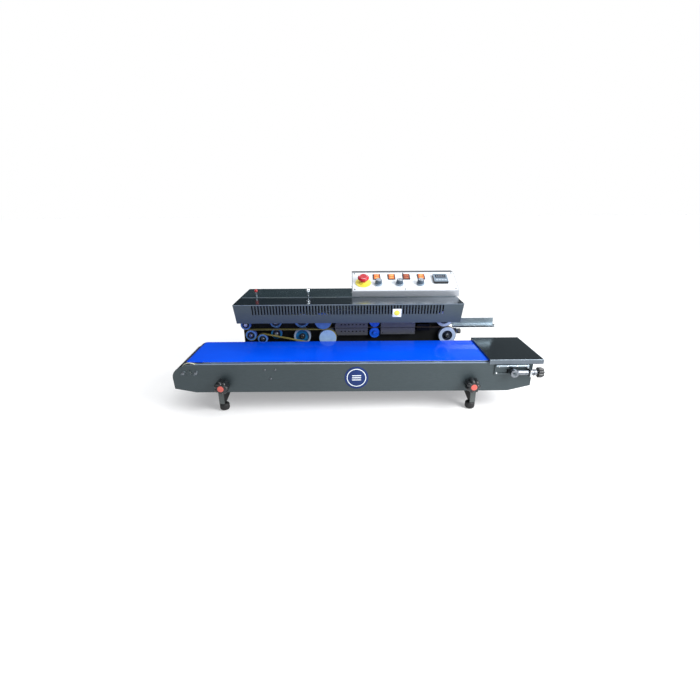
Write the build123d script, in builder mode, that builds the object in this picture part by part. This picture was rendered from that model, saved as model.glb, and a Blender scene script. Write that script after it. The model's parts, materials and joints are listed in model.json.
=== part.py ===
from build123d import *
import os
from math import asin, atan2, cos, hypot, pi, sin

os.makedirs("parts", exist_ok=True)

# Continuous band sealer. Millimetres, +Z up, +X along the conveyor (bags travel towards -X),
# -Y is the operator's side. The origin is on the floor, in the middle of the machine's footprint.

# ---- driving dimensions ---------------------------------------------------------------------
HALF_LENGTH = 522.5
HALF_DEPTH = 212.0
SHEET = 1.5
GAP = 0.3

RAIL_FRONT = -176.0
RAIL_REAR = 12.0
RAIL_SHEET = 2.0
RAIL_TOP = 147.6
RAIL_BOTTOM = 62.1
RAIL_RIGHT = 495.0
FLANGE = 8.0
ROLLER_Z = 124.0
ROLLER_R = 26.7
DRIVE_X = -473.6
IDLE_X = 437.0
AXLE_R = 6.0
RUNNING = 0.05
BELT_T = 2.0
BELT_Y = (-165.8, 1.8)
BELT_TOP = ROLLER_Z + ROLLER_R + GAP + BELT_T
TABLE_X = (371.5, HALF_LENGTH)
TABLE_Y = (RAIL_FRONT - 3, RAIL_REAR + 3)
TABLE_TOP = 158.0
TAKEUP_TRAVEL = 8.0

LEG_AXES = {"left": (-380.6, -1), "right": (324.0, 1)}
LEG_BOLT_Z = 88.0
LEG_TRAVEL = 20.0

WALL_X = (-374.0, 308.0)
WALL_Y = (72.0, 77.0)
HOUSING_REAR = 208.0
FLOOR_GAP = 15.0
LID_X = (-376.0, 329.4)
LID_TOP = 280.0
HINGE_Y = 70.0
HINGE_Z = 279.8
BARREL_R = 2.2
GUARD_FRONT_TOP = -24.0
GUARD_FRONT_BOTTOM = -14.0
GUARD_BOTTOM = 218.5
GUARD_INSET = 5.0
SLOT_COUNT = 64
SLOT_PITCH = 9.27
SLOT_SIZE = (4.6, 30.0)
SLOT_CENTRE_X = -25.7
SLOT_CENTRE_Z = 261.6

BOX_X = (-11.0, 336.5)
BOX_FRONT = 73.0
BOX_STEP = 298.5
BOX_TOP = 341.4
SLOPE_RUN = 100.5
SLOPE = atan2(BOX_TOP - BOX_STEP, SLOPE_RUN)
PANEL_T = 1.5
ESTOP = (26.4, 46.0)
ROCKERS = (72.4, 122.4, 172.4, 222.4)
ROCKER_S = 79.0
DIALS = (76.4, 146.4, 215.4)
DIAL_S = 38.0
CONTROLLER = (284.4, 62.0)

SEAL_Z = 182.5
NIP = 1.3
BAND_T = 0.8
FRONT_ROW = (32.0, 48.0)
REAR_ROW = (52.0, 68.0)
DRIVEN_ROW = (32.0, 68.0)
STUD_R = 5.0
SHAFT_R = 6.0
DRIVEN_R = 27.87
GEAR_MODULE = 2.0
GEAR_TEETH = 30
GEAR_Y = (86.0, 96.0)


def upright(y):
    """Vertical plane at depth y facing the operator: sketch x is X, sketch y is Z."""
    return Plane.XZ.offset(-y)


def endwise(x):
    """Vertical plane at position x facing right: sketch x is Y, sketch y is Z."""
    return Plane.YZ.offset(x)


def block(x, y, z, mode=Mode.ADD):
    """Box between (low, high) limits, added to the sub-part being built."""
    with Locations(((x[0] + x[1]) / 2, (y[0] + y[1]) / 2, (z[0] + z[1]) / 2)):
        Box(x[1] - x[0], y[1] - y[0], z[1] - z[0], mode=mode)


def rod_y(x, z, radius, y, mode=Mode.ADD):
    """Round bar along Y between the (low, high) limits y."""
    with Locations((x, (y[0] + y[1]) / 2, z)):
        Cylinder(radius, y[1] - y[0], rotation=(90, 0, 0), mode=mode)


def rod_x(y, z, radius, x, mode=Mode.ADD):
    """Round bar along X between the (low, high) limits x."""
    with Locations(((x[0] + x[1]) / 2, y, z)):
        Cylinder(radius, x[1] - x[0], rotation=(0, 90, 0), mode=mode)


def rod_z(x, y, radius, z, mode=Mode.ADD):
    """Round bar along Z between the (low, high) limits z."""
    with Locations((x, y, (z[0] + z[1]) / 2)):
        Cylinder(radius, z[1] - z[0], mode=mode)


def save(piece, name):
    """Label a finished sub-part and write its STEP file."""
    piece.part.label = name
    export_step(piece.part, f"parts/{name}.step")


# ---- housing --------------------------------------------------------------------------------
ARM_X = (-300.0, 220.0)
ARM_WIDTH = 40.0
PLATE = 3.0

with BuildPart() as base_frame:
    block(WALL_X, (WALL_Y[0], HOUSING_REAR - 2), (FLOOR_GAP, FLOOR_GAP + PLATE))
    for arm_x in ARM_X:
        span = (arm_x, arm_x + ARM_WIDTH)
        block(span, (RAIL_REAR, WALL_Y[0]), (FLOOR_GAP, FLOOR_GAP + PLATE))
        block(span, (RAIL_REAR, RAIL_REAR + PLATE), (FLOOR_GAP, 112))
        for side in (span[0], span[1] - PLATE):
            with BuildSketch(endwise(side)):
                Polygon(
                    (RAIL_REAR, FLOOR_GAP),
                    (WALL_Y[0], FLOOR_GAP),
                    (WALL_Y[0], 45),
                    (RAIL_REAR + PLATE, 100),
                    (RAIL_REAR, 100),
                    align=None,
                )
            extrude(amount=PLATE)
save(base_frame, "base_frame")

FOOT_X = (-335.0, 279.0)
FOOT_Y = (95.0, 185.0)
FOOT_R = 14.0

with BuildPart() as housing_feet:
    for foot_x in FOOT_X:
        for foot_y in FOOT_Y:
            rod_z(foot_x, foot_y, FOOT_R, (0, FLOOR_GAP))
    chamfer(housing_feet.edges().group_by(Axis.Z)[0], 2)
save(housing_feet, "housing_feet")

# Wheels on the sealing line: x, radius, side (+1 above the line, -1 below), depth range,
# and the face recess as (outer radius, hub radius, depth), or None for a plain face.
WHEELS = {
    "wheel_1_upper": (-355.7, 16.0, 1, FRONT_ROW, (11.5, 6.5, 3.0)),
    "wheel_1_lower": (-341.7, 17.0, -1, FRONT_ROW, (12.0, 6.5, 3.0)),
    "wheel_2_upper": (-261.7, 19.5, 1, REAR_ROW, (14.0, 7.0, 3.5)),
    "wheel_2_lower": (-261.7, 18.0, -1, REAR_ROW, (13.0, 7.0, 3.5)),
    "wheel_3_upper": (-176.7, 25.0, 1, REAR_ROW, (18.0, 8.0, 4.0)),
    "wheel_3_lower": (-176.7, 28.0, -1, REAR_ROW, (22.0, 8.0, 4.0)),
    "wheel_5_upper": (62.4, 17.0, 1, REAR_ROW, (7.0, 6.5, 1.0)),
    "wheel_5_lower": (62.4, 17.0, -1, REAR_ROW, (7.0, 6.5, 1.0)),
    "wheel_6_upper": (290.4, 27.0, 1, REAR_ROW, (17.0, 8.5, 5.0)),
    "wheel_6_lower": (303.4, 28.0, -1, REAR_ROW, (17.0, 8.5, 5.0)),
}
DRIVEN = {"upper": (-105.7, 1), "lower": (-91.7, -1)}
TENSION_WHEEL = (-304.7, 151.5, 16.0)


def wheel_z(radius, side):
    """Height of a wheel's axis that leaves its rim just off the sealing line."""
    return SEAL_Z + side * (NIP + radius)


BUSH_R = 11.0

with BuildPart() as mount_wall:
    block(WALL_X, WALL_Y, (FLOOR_GAP + PLATE, LID_TOP - SHEET))
    for driven_x, side in DRIVEN.values():
        rod_y(driven_x, wheel_z(DRIVEN_R, side), BUSH_R, WALL_Y, mode=Mode.SUBTRACT)
save(mount_wall, "mount_wall")

VENT_GROUPS = (-240.0, 120.0)
VENT_COUNT = 12
VENT_PITCH = 12.0
VENT_SIZE = (5.0, 60.0)
VENT_Z = 200.0
INLET = (230.0, 60.0)
INLET_CUT = (28.0, 21.0)
SIDE_Y = (WALL_Y[1], HOUSING_REAR)
SIDE_Z = (FLOOR_GAP + PLATE, LID_TOP - SHEET)

with BuildPart() as rear_cover:
    block((WALL_X[0], WALL_X[0] + SHEET), SIDE_Y, SIDE_Z)
    block((WALL_X[1] - SHEET, WALL_X[1]), SIDE_Y, SIDE_Z)
    block(WALL_X, (HOUSING_REAR - SHEET, HOUSING_REAR), SIDE_Z)
    with BuildSketch(upright(HOUSING_REAR)):
        for group_x in VENT_GROUPS:
            with Locations((group_x, VENT_Z)):
                with GridLocations(VENT_PITCH, 1, VENT_COUNT, 1):
                    SlotOverall(VENT_SIZE[1], VENT_SIZE[0], rotation=90)
        with Locations(INLET):
            Rectangle(*INLET_CUT)
    extrude(amount=SHEET, mode=Mode.SUBTRACT)
save(rear_cover, "rear_cover")

with BuildPart() as power_inlet:
    with BuildSketch(upright(HALF_DEPTH)):
        with Locations(INLET):
            RectangleRounded(50, 27, 5)
    extrude(amount=HALF_DEPTH - HOUSING_REAR)
    with BuildSketch(upright(HOUSING_REAR)):
        with Locations(INLET):
            Rectangle(INLET_CUT[0] - 0.6, INLET_CUT[1] - 0.6)
    extrude(amount=18)
    with BuildSketch(upright(HALF_DEPTH)):
        with Locations(INLET):
            RectangleRounded(24, 16.5, 3)
    extrude(amount=17, mode=Mode.SUBTRACT)
    for pin_x in (-7, 0, 7):
        block(
            (INLET[0] + pin_x - 1, INLET[0] + pin_x + 1),
            (HALF_DEPTH - 18, HALF_DEPTH - 3),
            (INLET[1] - 2, INLET[1] + 2),
        )
save(power_inlet, "power_inlet")

# Hinge along the top edge: barrels of the lid and of the guard take turns on one pin.
HINGE_X = (-370.0, 323.4)
KNUCKLES = 9
KNUCKLE_PITCH = (HINGE_X[1] - HINGE_X[0]) / KNUCKLES
PIN_R = 1.0
HINGE_RELIEF = 3.0


def knuckle(number):
    """X range of one hinge barrel, with a gap at each end."""
    start = HINGE_X[0] + number * KNUCKLE_PITCH
    return (start + 0.25, start + KNUCKLE_PITCH - 0.25)


LID_SCREWS = {"left": -326.0, "right": -155.7}
LID_SCREW_Y = 89.0
LID_SCREW_R = 3.0

with BuildPart() as top_lid:
    block(LID_X, (HINGE_Y + HINGE_RELIEF, HOUSING_REAR + 2), (LID_TOP - SHEET, LID_TOP))
    block(LID_X, (HOUSING_REAR + 0.5, HOUSING_REAR + 2), (LID_TOP - 12, LID_TOP - SHEET))
    for end_x in (LID_X[0], LID_X[1] - SHEET):
        block((end_x, end_x + SHEET), (WALL_Y[1], HOUSING_REAR + 2), (LID_TOP - 12, LID_TOP))
    for number in range(0, KNUCKLES, 2):
        block(knuckle(number), (HINGE_Y, HINGE_Y + 4), (LID_TOP - SHEET, LID_TOP))
        rod_x(HINGE_Y, HINGE_Z, BARREL_R, knuckle(number))
    rod_x(HINGE_Y, HINGE_Z, PIN_R, HINGE_X)
    for screw_x in LID_SCREWS.values():
        rod_z(screw_x, LID_SCREW_Y, LID_SCREW_R + RUNNING, (LID_TOP - 2, LID_TOP), mode=Mode.SUBTRACT)
save(top_lid, "top_lid")


def hood(top_z, bottom_z, inset, rear):
    """Solid under the guard's outer faces, moved inwards by inset."""
    with BuildPart() as form:
        with BuildSketch(Plane.XY.offset(top_z)):
            Polygon(
                (LID_X[0] + inset, GUARD_FRONT_TOP + inset),
                (LID_X[1] - inset, GUARD_FRONT_TOP + inset),
                (LID_X[1] - inset, rear),
                (LID_X[0] + inset, rear),
                align=None,
            )
        with BuildSketch(Plane.XY.offset(bottom_z)):
            Polygon(
                (LID_X[0] + GUARD_INSET + inset, GUARD_FRONT_BOTTOM + inset),
                (LID_X[1] - GUARD_INSET - inset, GUARD_FRONT_BOTTOM + inset),
                (LID_X[1] - GUARD_INSET - inset, rear),
                (LID_X[0] + GUARD_INSET + inset, rear),
                align=None,
            )
        loft()
    return form.part


GUARD_REAR = HINGE_Y - HINGE_RELIEF

with BuildPart() as front_guard:
    add(hood(LID_TOP, GUARD_BOTTOM, 0, GUARD_REAR))
    add(hood(LID_TOP - SHEET, GUARD_BOTTOM, SHEET, GUARD_REAR), mode=Mode.SUBTRACT)
    with BuildSketch(upright(GUARD_FRONT_BOTTOM + 10)):
        with Locations((SLOT_CENTRE_X, SLOT_CENTRE_Z)):
            with GridLocations(SLOT_PITCH, 1, SLOT_COUNT, 1):
                Rectangle(*SLOT_SIZE)
    extrude(amount=30, mode=Mode.SUBTRACT)
    for number in range(1, KNUCKLES, 2):
        block(knuckle(number), (GUARD_REAR - 1, HINGE_Y), (LID_TOP - SHEET, LID_TOP))
        rod_x(HINGE_Y, HINGE_Z, BARREL_R, knuckle(number))
        rod_x(HINGE_Y, HINGE_Z, PIN_R + RUNNING, knuckle(number), mode=Mode.SUBTRACT)
save(front_guard, "front_guard")

for side, screw_x in LID_SCREWS.items():
    with BuildPart() as lid_screw:
        rod_z(screw_x, LID_SCREW_Y, LID_SCREW_R, (LID_TOP - 20, LID_TOP + 14))
        rod_z(screw_x, LID_SCREW_Y, 4.5, (LID_TOP + GAP, LID_TOP + 4))
        rod_z(screw_x, LID_SCREW_Y, 5.5, (LID_TOP + 14, LID_TOP + 25))
        fillet(lid_screw.edges().group_by(Axis.Z)[-1], 3)
    save(lid_screw, f"lid_screw_{side}")

# ---- control box ----------------------------------------------------------------------------


def panel_plane(height=0.0):
    """Plane on the sloping face: sketch x is X, sketch y runs up the slope from its lower edge."""
    normal = (0, -sin(SLOPE), cos(SLOPE))
    return Plane(origin=(0, BOX_FRONT, BOX_STEP), x_dir=(1, 0, 0), z_dir=normal).offset(height)


SLOPE_LENGTH = hypot(SLOPE_RUN, BOX_TOP - BOX_STEP)
PANEL_MARGIN = 2.5
PANEL_CENTRE = ((BOX_X[0] + BOX_X[1]) / 2, SLOPE_LENGTH / 2)
PANEL_SIZE = (BOX_X[1] - BOX_X[0] - 2 * PANEL_MARGIN, SLOPE_LENGTH - 2 * PANEL_MARGIN)
PANEL_LIP = 9.0

with BuildPart() as control_box:
    with BuildSketch(endwise(BOX_X[0])):
        Polygon(
            (BOX_FRONT, LID_TOP),
            (BOX_FRONT, BOX_STEP),
            (BOX_FRONT + SLOPE_RUN, BOX_TOP),
            (HOUSING_REAR, BOX_TOP),
            (HOUSING_REAR, LID_TOP),
            align=None,
        )
    extrude(amount=BOX_X[1] - BOX_X[0])
    with BuildSketch(endwise(BOX_X[0] + SHEET)):
        with BuildLine():
            Polyline(
                (BOX_FRONT + SHEET, LID_TOP),
                (BOX_FRONT + SHEET, BOX_STEP - 1),
                (BOX_FRONT + SLOPE_RUN + 0.3, BOX_TOP - SHEET),
                (HOUSING_REAR - SHEET, BOX_TOP - SHEET),
                (HOUSING_REAR - SHEET, LID_TOP),
                close=True,
            )
        make_face()
    extrude(amount=BOX_X[1] - BOX_X[0] - 2 * SHEET, mode=Mode.SUBTRACT)
    block((LID_X[1] - 4, BOX_X[1]), (BOX_FRONT, HOUSING_REAR), (LID_TOP, LID_TOP + SHEET))
    with BuildSketch(panel_plane(5)):
        with Locations(PANEL_CENTRE):
            Rectangle(PANEL_SIZE[0] - 2 * PANEL_LIP, PANEL_SIZE[1] - 2 * PANEL_LIP)
    extrude(amount=-12, mode=Mode.SUBTRACT)
save(control_box, "control_box")

ROCKER_HOUSING = (21.6, 27.6)
ROCKER_BEZEL = (25.0, 31.0)
CONTROLLER_BODY = 44.6
DIAL_STEM_R = 3.0
ESTOP_BARREL_R = 11.0

with BuildPart() as control_panel:
    with BuildSketch(panel_plane()):
        with Locations(PANEL_CENTRE):
            RectangleRounded(PANEL_SIZE[0], PANEL_SIZE[1], 2)
        with Locations(ESTOP):
            Circle(ESTOP_BARREL_R, mode=Mode.SUBTRACT)
        with Locations(*[(x, ROCKER_S) for x in ROCKERS]):
            Rectangle(*ROCKER_HOUSING, mode=Mode.SUBTRACT)
        with Locations(*[(x, DIAL_S) for x in DIALS]):
            Circle(DIAL_STEM_R + 2 * GAP, mode=Mode.SUBTRACT)
        with Locations(CONTROLLER):
            Rectangle(CONTROLLER_BODY, CONTROLLER_BODY, mode=Mode.SUBTRACT)
    extrude(amount=PANEL_T)
save(control_panel, "control_panel")

with BuildPart() as temperature_controller:
    with BuildSketch(panel_plane(PANEL_T)):
        with Locations(CONTROLLER):
            RectangleRounded(48, 48, 2.5)
    extrude(amount=8.5, taper=6)
    with BuildSketch(panel_plane(PANEL_T)):
        with Locations(CONTROLLER):
            Rectangle(CONTROLLER_BODY, CONTROLLER_BODY)
    extrude(amount=-24)
    with BuildSketch(panel_plane(PANEL_T + 8.5)):
        with Locations((CONTROLLER[0], CONTROLLER[1] + 6)):
            Rectangle(36, 22)
    extrude(amount=-1.5, mode=Mode.SUBTRACT)
save(temperature_controller, "temperature_controller")

ROCKER_OPENING = (18.6, 25.2)
ROCKER_PIN_R = 1.2

with BuildPart() as rocker_bezels:
    with BuildSketch(panel_plane(PANEL_T)):
        with Locations(*[(x, ROCKER_S) for x in ROCKERS]):
            RectangleRounded(*ROCKER_BEZEL, 2)
    extrude(amount=2)
    with BuildSketch(panel_plane(PANEL_T)):
        with Locations(*[(x, ROCKER_S) for x in ROCKERS]):
            Rectangle(*ROCKER_HOUSING)
    extrude(amount=-16)
    with BuildSketch(panel_plane(PANEL_T + 2)):
        with Locations(*[(x, ROCKER_S) for x in ROCKERS]):
            Rectangle(*ROCKER_OPENING)
    extrude(amount=-12, mode=Mode.SUBTRACT)
    for rocker_x in ROCKERS:
        pin_plane = panel_plane(PANEL_T)
        with Locations(Location(pin_plane) * Location((rocker_x, ROCKER_S, 0))):
            Cylinder(ROCKER_PIN_R, ROCKER_OPENING[0] + 1, rotation=(0, 90, 0))
save(rocker_bezels, "rocker_bezels")

ROCKER_TILT = 8 * pi / 180

for index, rocker_x in enumerate(ROCKERS, start=1):
    pivot = panel_plane(PANEL_T).from_local_coords((rocker_x, ROCKER_S, 0))
    along = (0, cos(SLOPE + ROCKER_TILT), sin(SLOPE + ROCKER_TILT))
    with BuildPart() as rocker:
        with BuildSketch(Plane(origin=pivot, x_dir=along, z_dir=(1, 0, 0)).offset(-9)):
            Polygon((-11.7, -3), (11.7, -3), (11.7, 3.6), (0, 2.6), (-11.7, 3.6), align=None)
            Circle(ROCKER_PIN_R + 0.1, mode=Mode.SUBTRACT)
        extrude(amount=18.0)
    save(rocker, f"rocker_{index}")

with BuildPart() as estop_collar:
    with BuildSketch(panel_plane(PANEL_T)):
        with Locations(ESTOP):
            Circle(26)
    extrude(amount=2)
    with BuildSketch(panel_plane(PANEL_T + 2)):
        with Locations(ESTOP):
            Circle(14)
    extrude(amount=6)
    with BuildSketch(panel_plane(PANEL_T)):
        with Locations(ESTOP):
            Circle(ESTOP_BARREL_R - 0.1)
    extrude(amount=-26)
    with BuildSketch(panel_plane(PANEL_T + 8)):
        with Locations(ESTOP):
            Circle(8.3)
    extrude(amount=-30, mode=Mode.SUBTRACT)
save(estop_collar, "estop_collar")

with BuildPart() as estop_button:
    with BuildSketch(panel_plane(PANEL_T + 17)):
        with Locations(ESTOP):
            Circle(18.5)
    extrude(amount=10)
    fillet(estop_button.edges().filter_by(GeomType.CIRCLE).sort_by(Axis.Z)[-1], 4)
    with BuildSketch(panel_plane(PANEL_T - 14)):
        with Locations(ESTOP):
            Circle(8)
    extrude(amount=31)
save(estop_button, "estop_button")

for index, dial_x in enumerate(DIALS, start=1):
    with BuildPart() as dial:
        with BuildSketch(panel_plane(PANEL_T + GAP)):
            with Locations((dial_x, DIAL_S)):
                Circle(13)
        extrude(amount=5)
        with BuildSketch(panel_plane(PANEL_T + GAP + 5)):
            with Locations((dial_x, DIAL_S)):
                Circle(11)
        extrude(amount=13, taper=3)
        fillet(dial.edges().filter_by(GeomType.CIRCLE).sort_by(Axis.Z)[-1], 1.5)
        with BuildSketch(panel_plane(PANEL_T - 14)):
            with Locations((dial_x, DIAL_S)):
                Circle(DIAL_STEM_R)
        extrude(amount=15)
        with BuildSketch(panel_plane(PANEL_T + GAP + 18)):
            with Locations((dial_x, DIAL_S)):
                with PolarLocations(4.5, 1, start_angle=235):
                    Rectangle(8, 1.6)
        extrude(amount=-1.2, mode=Mode.SUBTRACT)
    save(dial, f"dial_{index}")

# ---- conveyor -------------------------------------------------------------------------------
NOSE_X = -HALF_LENGTH
LEG_NOTCH = 30.0


def conveyor_rail(web_y, flange_y, notched):
    """One side rail: web with its nose, inward top flange, and the holes of both axles."""
    with BuildPart() as rail:
        with BuildSketch(upright(web_y[1])):
            with BuildLine():
                Polyline(
                    (-520.7, 74.4),
                    (-460.7, RAIL_BOTTOM),
                    (432.1, RAIL_BOTTOM),
                    (RAIL_RIGHT, 77.8),
                    (RAIL_RIGHT, RAIL_TOP),
                    (-482.5, RAIL_TOP),
                    (-510, 133.2),
                )
                ThreePointArc((-510, 133.2), (-519.5, 121.5), (NOSE_X, 106))
                Line((NOSE_X, 106), (-520.7, 74.4))
            make_face()
            with Locations((DRIVE_X, ROLLER_Z)):
                Circle(AXLE_R + RUNNING, mode=Mode.SUBTRACT)
            with Locations((IDLE_X - TAKEUP_TRAVEL / 2, ROLLER_Z)):
                SlotOverall(TAKEUP_TRAVEL + 2 * AXLE_R + 1, 2 * AXLE_R + 1, mode=Mode.SUBTRACT)
            if notched:
                with Locations(*[(axis_x, LEG_BOLT_Z) for axis_x, _ in LEG_AXES.values()]):
                    Circle(4 + GAP, mode=Mode.SUBTRACT)
        extrude(amount=web_y[1] - web_y[0])
        block((-455, RAIL_RIGHT), flange_y, (RAIL_TOP - RAIL_SHEET, RAIL_TOP))
        block((-440, 420), flange_y, (RAIL_BOTTOM, RAIL_BOTTOM + RAIL_SHEET))
        if notched:
            for axis_x, side in LEG_AXES.values():
                middle = axis_x + side * 6
                block(
                    (middle - LEG_NOTCH, middle + LEG_NOTCH),
                    (flange_y[0], flange_y[1] + 1),
                    (RAIL_BOTTOM, RAIL_BOTTOM + 3),
                    mode=Mode.SUBTRACT,
                )
    return rail.part


FRONT_WEB = (RAIL_FRONT, RAIL_FRONT + RAIL_SHEET)
REAR_WEB = (RAIL_REAR - RAIL_SHEET, RAIL_REAR)

with BuildPart() as conveyor_rails:
    add(conveyor_rail(FRONT_WEB, (FRONT_WEB[1], FRONT_WEB[1] + FLANGE), True))
    add(conveyor_rail(REAR_WEB, (REAR_WEB[0] - FLANGE, REAR_WEB[0]), False))
save(conveyor_rails, "conveyor_rails")

BED_X = (-435.0, 400.0)
BED_TOP = BELT_TOP - BELT_T
CROSS_BAR_X = (-400.0, -190.0, 20.0, 230.0, 380.0)
CROSS_BAR = (20.0, 10.0)
BAR_TOP = RAIL_TOP - RAIL_SHEET

with BuildPart() as slider_bed:
    block(BED_X, BELT_Y, (BED_TOP - 2, BED_TOP))
    for bar_x in CROSS_BAR_X:
        span = (bar_x - CROSS_BAR[0] / 2, bar_x + CROSS_BAR[0] / 2)
        block(span, (FRONT_WEB[1], REAR_WEB[0]), (BAR_TOP - CROSS_BAR[1], BAR_TOP))
        block(span, BELT_Y, (BAR_TOP, BED_TOP - 2))
    with BuildSketch(upright(REAR_WEB[0])):
        with BuildLine():
            Line((-502.5, 136.8), (-509.7, 133))
            ThreePointArc((-509.7, 133), (-519, 121.4), (-522, 106))
            Polyline((-522, 106), (-520.3, 78), (-518.3, 78), (-520, 106))
            ThreePointArc((-520, 106), (-517.2, 122.3), (-508.8, 131.2))
            Polyline((-508.8, 131.2), (-501.6, 135), (-502.5, 136.8))
        make_face()
    extrude(amount=REAR_WEB[0] - FRONT_WEB[1])
save(slider_bed, "slider_bed")


def loop_outline(pulleys, offset, inner_offset, thickness):
    """Corner data of a belt line that runs round pulleys given as (x, z, radius, turn).

    turn is 1 for a pulley inside the loop and -1 for one that presses on it from outside.
    offset is the line's distance from the surface of the inside pulleys. Returns, for each
    pulley, its centre, the line's radius there, and the points where the line meets and leaves it.
    """
    rims = []
    for x, z, radius, turn in pulleys:
        reach = offset if turn > 0 else 2 * inner_offset + thickness - offset
        rims.append((x, z, radius + reach, turn))
    meets = [None] * len(rims)
    leaves = [None] * len(rims)
    for number, (x0, z0, r0, t0) in enumerate(rims):
        follower = (number + 1) % len(rims)
        x1, z1, r1, t1 = rims[follower]
        span = hypot(x1 - x0, z1 - z0)
        heading = atan2(z1 - z0, x1 - x0) - asin((t1 * r1 - t0 * r0) / span)
        side = (-sin(heading), cos(heading))
        leaves[number] = (x0 - t0 * r0 * side[0], z0 - t0 * r0 * side[1])
        meets[follower] = (x1 - t1 * r1 * side[0], z1 - t1 * r1 * side[1])
    return rims, meets, leaves


def loop_face(pulleys, offset, inner_offset, thickness, mode=Mode.ADD):
    """Sketch face inside the belt line at the given offset."""
    rims, meets, leaves = loop_outline(pulleys, offset, inner_offset, thickness)
    with BuildSketch(mode=Mode.PRIVATE) as face:
        with BuildLine():
            for number, (x, z, radius, turn) in enumerate(rims):
                start = atan2(meets[number][1] - z, meets[number][0] - x)
                end = atan2(leaves[number][1] - z, leaves[number][0] - x)
                sweep = (turn * (end - start)) % (2 * pi)
                middle = start + turn * sweep / 2
                top = (x + radius * cos(middle), z + radius * sin(middle))
                ThreePointArc(meets[number], top, leaves[number])
                Line(leaves[number], meets[(number + 1) % len(rims)])
        make_face()
    return face.sketch


def belt(pulleys, y, thickness, gap):
    """Endless flat belt round the pulleys, clear of them by gap, over the depth range y."""
    with BuildPart() as loop:
        with BuildSketch(upright(y[1])):
            add(loop_face(pulleys, gap + thickness, gap, thickness))
            add(loop_face(pulleys, gap, gap, thickness), mode=Mode.SUBTRACT)
        extrude(amount=y[1] - y[0])
    return loop.part


with BuildPart() as conveyor_belt:
    add(
        belt(
            [(DRIVE_X, ROLLER_Z, ROLLER_R, 1), (IDLE_X, ROLLER_Z, ROLLER_R, 1)],
            BELT_Y,
            BELT_T,
            GAP,
        )
    )
save(conveyor_belt, "conveyor_belt")

ROLLER_Y = (-169.0, 5.0)

with BuildPart() as drive_roller:
    rod_y(DRIVE_X, ROLLER_Z, ROLLER_R, ROLLER_Y)
    chamfer(drive_roller.edges().filter_by(GeomType.CIRCLE), 0.8)
    rod_y(DRIVE_X, ROLLER_Z, ROLLER_R - 6, (ROLLER_Y[0], ROLLER_Y[0] + 4), mode=Mode.SUBTRACT)
    rod_y(DRIVE_X, ROLLER_Z, ROLLER_R - 6, (ROLLER_Y[1] - 4, ROLLER_Y[1]), mode=Mode.SUBTRACT)
    rod_y(DRIVE_X, ROLLER_Z, AXLE_R, (RAIL_FRONT - 3, RAIL_REAR + 3))
save(drive_roller, "drive_roller")

with BuildPart() as idle_roller:
    rod_y(IDLE_X, ROLLER_Z, ROLLER_R, BELT_Y)
    chamfer(idle_roller.edges().filter_by(GeomType.CIRCLE), 0.8)
    rod_y(IDLE_X, ROLLER_Z, ROLLER_R - 6, (BELT_Y[0], BELT_Y[0] + 4), mode=Mode.SUBTRACT)
    rod_y(IDLE_X, ROLLER_Z, ROLLER_R - 6, (BELT_Y[1] - 4, BELT_Y[1]), mode=Mode.SUBTRACT)
    rod_y(IDLE_X, ROLLER_Z, AXLE_R + RUNNING, BELT_Y, mode=Mode.SUBTRACT)
save(idle_roller, "idle_roller")

LIP = 13.7

with BuildPart() as extension_table:
    block(TABLE_X, TABLE_Y, (TABLE_TOP - 2, TABLE_TOP))
    block(TABLE_X, (TABLE_Y[0], TABLE_Y[0] + 2), (TABLE_TOP - LIP, TABLE_TOP))
    block(TABLE_X, (TABLE_Y[1] - 2, TABLE_Y[1]), (TABLE_TOP - LIP, TABLE_TOP))
    block((TABLE_X[1] - 2, TABLE_X[1]), TABLE_Y, (TABLE_TOP - LIP, TABLE_TOP))
    block((TABLE_X[0], TABLE_X[0] + 2), TABLE_Y, (BELT_TOP + 0.5, TABLE_TOP))
    for bar_y in ((FRONT_WEB[1], FRONT_WEB[1] + FLANGE), (REAR_WEB[0] - FLANGE, REAR_WEB[0])):
        block((472, RAIL_RIGHT), bar_y, (RAIL_TOP, TABLE_TOP - 2))
save(extension_table, "extension_table")

GUIDE_X = (388.0, 483.0)
GUIDE_Z = (113.0, 143.0)
GUIDE_T = 3.0
EAR_X = (479.0, 483.0)
EAR_REACH = 23.0
ROD_R = 4.0
ROD_OFFSET = 15.0

with BuildPart() as takeup_guides:
    for outward, face_y in ((-1, RAIL_FRONT), (1, RAIL_REAR)):
        plate_y = sorted((face_y, face_y + outward * GUIDE_T))
        ear_y = sorted((face_y + outward * GUIDE_T, face_y + outward * (GUIDE_T + EAR_REACH)))
        block(GUIDE_X, plate_y, GUIDE_Z)
        block(EAR_X, ear_y, (ROLLER_Z - 10, ROLLER_Z + 10))
        with BuildSketch(upright(plate_y[1])):
            with Locations((420, ROLLER_Z)):
                SlotOverall(52, 2 * AXLE_R + 1)
        extrude(amount=GUIDE_T, mode=Mode.SUBTRACT)
        rod_x(face_y + outward * ROD_OFFSET, ROLLER_Z, ROD_R + GAP, EAR_X, mode=Mode.SUBTRACT)
save(takeup_guides, "takeup_guides")

BOSS_R = 11.0
BOSS_Y = (5.0, 25.0)
ROD_END = 510.0
SLEEVE_R = 7.0

with BuildPart() as takeup_slide:
    rod_y(IDLE_X, ROLLER_Z, AXLE_R, (RAIL_FRONT - 6, RAIL_REAR + 6))
    for outward, face_y in ((-1, RAIL_FRONT), (1, RAIL_REAR)):
        boss_y = sorted((face_y + outward * BOSS_Y[0], face_y + outward * BOSS_Y[1]))
        rod_y(IDLE_X, ROLLER_Z, BOSS_R, boss_y)
        rod_x(face_y + outward * ROD_OFFSET, ROLLER_Z, ROD_R, (IDLE_X, ROD_END))
        rod_x(face_y + outward * ROD_OFFSET, ROLLER_Z, SLEEVE_R, (IDLE_X, EAR_X[0] - 3))
save(takeup_slide, "takeup_slide")

KNOB_HUB_X = (EAR_X[1] + GAP, 502.0)
KNOB_STAR_X = (502.0, 519.0)
KNOB_LOBES = 7

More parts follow.
